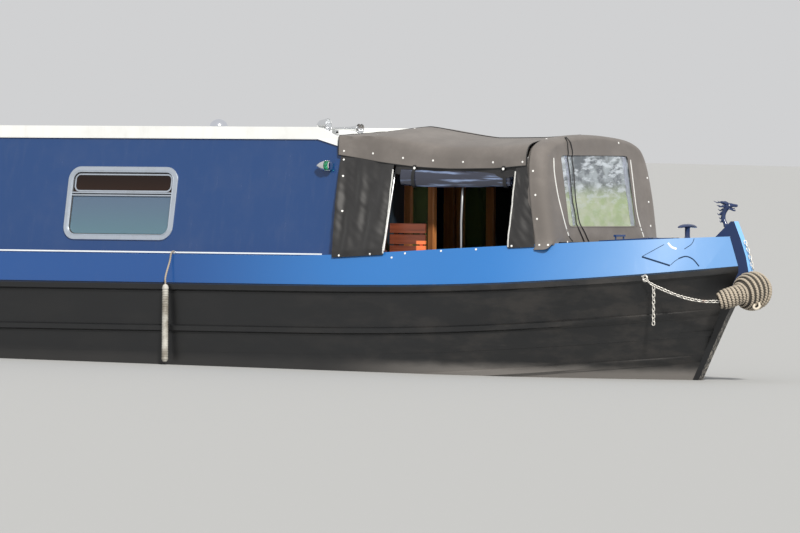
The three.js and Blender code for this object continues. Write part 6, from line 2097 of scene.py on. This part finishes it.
def twisted(name, points, radius, turn_length=0.055, strands=3):
    """Laid rope: round strands wound about a line."""
    points = [Vector(point) for point in points]
    fine = curve_through(points, max(12, int(path_length(points) / 0.006)))
    step = (fine[1] - fine[0]).length
    pieces = []
    for k in range(strands):
        line = []
        for i, (point, side, up) in enumerate(frames_along(fine)):
            a = 2 * math.pi * (k / strands + i * step / turn_length)
            line.append(point + (side * math.cos(a) + up * math.sin(a)) * radius * 0.50)
        pieces.append(tube("strand", line, radius * 0.52, 8))
    piece = joined(name, pieces)
    grooves(piece, [0.12] * len(piece.data.vertices))
    return piece, fine


def side_fenders():
    x, y, low, high, radius = 2.815, 1.099, 0.513, 1.146, 0.027
    for side, sign in SIDES.items():
        profile = [(0, 0), (0.010, 0.001), (0.016, 0.004), (0.024, 0.016), (radius, 0.028)]
        for k in range(28):
            z = 0.034 + k * 0.020
            profile += [(radius, z), (radius - 0.003, z + 0.008), (radius - 0.003, z + 0.012), (radius, z + 0.018)]
        top = high - low
        profile += [(radius, top - 0.030), (0.024, top - 0.016), (0.014, top - 0.004), (0.008, top - 0.001), (0, top)]
        body = lathe(f"side_fender_tube_{side}", profile, Matrix.Translation((x, sign * y, low)), 32, 60)
        finished(body, "fender_rubber", HULL, f"side_fender_{side}")
        line = [(x - 0.012, 0.955, 1.4105), (x - 0.012, 0.988, 1.4045), (x - 0.012, 1.004, 1.380),
                (x - 0.010, 1.022, 1.330), (x - 0.003, y - 0.006, high + 0.060), (x, y, high - 0.004)]
        line = [(px, sign * py, pz) for px, py, pz in line]
        rope, fine = twisted(f"side_fender_line_{side}", line, 0.0075)
        finished(rope, "rope")
        ring = ring_round(Vector((x - 0.012, sign * 0.954, 1.4015)), Vector((1, 0, 0)), Vector((0, 0, 1)), 0.011, 0.011,
                          20)
        finished(tube(f"side_fender_eye_{side}", ring, 0.004, 8, True), "steel")


class BOAT_OT_bow(bpy.types.Operator):
    """Makes the figurehead, stud, locker lid, chains and rope fenders"""
    bl_idname = "boat.bow"
    bl_label = "Bow and fenders"

    def execute(self, context):
        figurehead()
        t_stud()
        dressed("gas_locker_lid", "cabin_paint", 0.002, body="gas_locker_lid")
        bow_fender()
        chains()
        side_fenders()
        return {"FINISHED"}


class BOAT_OT_well(bpy.types.Operator):
    """Makes the slatted seat in the front well"""
    bl_idname = "boat.well"
    bl_label = "Well seat"

    def execute(self, context):
        dressed("well_seat", "redwood", 0.004, 3)
        return {"FINISHED"}


# Stern

def tiller():
    """A brass bar and a turned timber grip."""
    rear, bar, z = -6.969, -6.470, 2.164
    rise = Vector((0.5, 0, 0.020)).normalized()
    rod_piece = tube("tiller_rod", [(rear, 0, z), (bar, 0, z + 0.020)], 0.015, 24)
    collar = lathe("collar", [(0, -0.006), (0.019, -0.006), (0.0205, 0), (0.019, 0.006), (0, 0.006)],
                   facing(rise, (bar - 0.006, 0, z + 0.0198)), 24)
    finished(joined("tiller_brass", [rod_piece, collar]), "brass", "rudder_and_tiller", "tiller")
    grip = [(0, 0), (0.015, 0.001), (0.0165, 0.010), (0.0155, 0.030), (0.0175, 0.080), (0.0200, 0.130),
            (0.0205, 0.160), (0.0170, 0.178), (0.0150, 0.184), (0.0180, 0.190), (0.0150, 0.196), (0, 0.199)]
    piece = lathe("tiller_grip", grip, facing(Vector((0.2, 0, 0.008)), (bar + 0.001, 0, z + 0.020)), 32)
    finished(piece, "mahogany", "rudder_and_tiller")


class BOAT_OT_stern(bpy.types.Operator):
    """Dresses the stern: deck, lids, rail, column, rudder, tiller, propeller and fender"""
    bl_idname = "boat.stern"
    bl_label = "Stern"

    def execute(self, context):
        dressed("stern_deck", "deck_paint", 0.002)
        dressed("engine_hatch_lid", "deck_paint", 0.003, body="engine_hatch_lid")
        dressed("engine_block", "engine", 0.020, 3)
        dressed("stern_rail", "steel", 0.0, angle=70)
        dressed("control_column", "cabin_paint", 0.004, angle=50)
        dressed("rudder", "rudder_paint", 0.0, angle=50, body="rudder_and_tiller")
        dressed("propeller", "bronze", 0.0, angle=50, body="propeller")
        tiller()
        stern_fender()
        return {"FINISHED"}


# Sidebar

PIECES = (BOAT_OT_camera, BOAT_OT_stage, BOAT_OT_hull, BOAT_OT_lines, BOAT_OT_cabin, BOAT_OT_windows, BOAT_OT_doors,
          BOAT_OT_fittings, BOAT_OT_well, BOAT_OT_canopy, BOAT_OT_bow, BOAT_OT_stern)
GROUPS = {"paint": BoatPaint, "canopy": BoatCanopy, "glazing": BoatGlazing, "rope": BoatRope, "stage": BoatStage}


class BOAT_PT_panel(bpy.types.Panel):
    """Lists the boat's pieces with their sizes and colours"""
    bl_idname = "BOAT_PT_panel"
    bl_label = "Narrowboat"
    bl_space_type = "VIEW_3D"
    bl_region_type = "UI"
    bl_category = "Boat"

    def draw(self, context):
        for name, group in GROUPS.items():
            box = self.layout.box()
            box.label(text=name.capitalize())
            for key in group.__annotations__:
                box.prop(settings(name), key)
        for piece in PIECES:
            self.layout.operator(piece.bl_idname)


def register():
    for group in GROUPS.values():
        bpy.utils.register_class(group)
    for name, group in GROUPS.items():
        setattr(bpy.types.Scene, "narrowboat_" + name, PointerProperty(type=group))
    for piece in (*PIECES, BOAT_PT_panel):
        bpy.utils.register_class(piece)


def unregister():
    for piece in reversed((*PIECES, BOAT_PT_panel)):
        bpy.utils.unregister_class(piece)
    for name, group in GROUPS.items():
        delattr(bpy.types.Scene, "narrowboat_" + name)
        bpy.utils.unregister_class(group)


def main():
    register()
    make_finishes()
    for piece in PIECES:
        group, name = piece.bl_idname.split(".")
        result = getattr(getattr(bpy.ops, group), name)()
        if result != {"FINISHED"}:
            raise RuntimeError(f"{piece.bl_idname} did not finish")


if __name__ == "__main__":
    main()
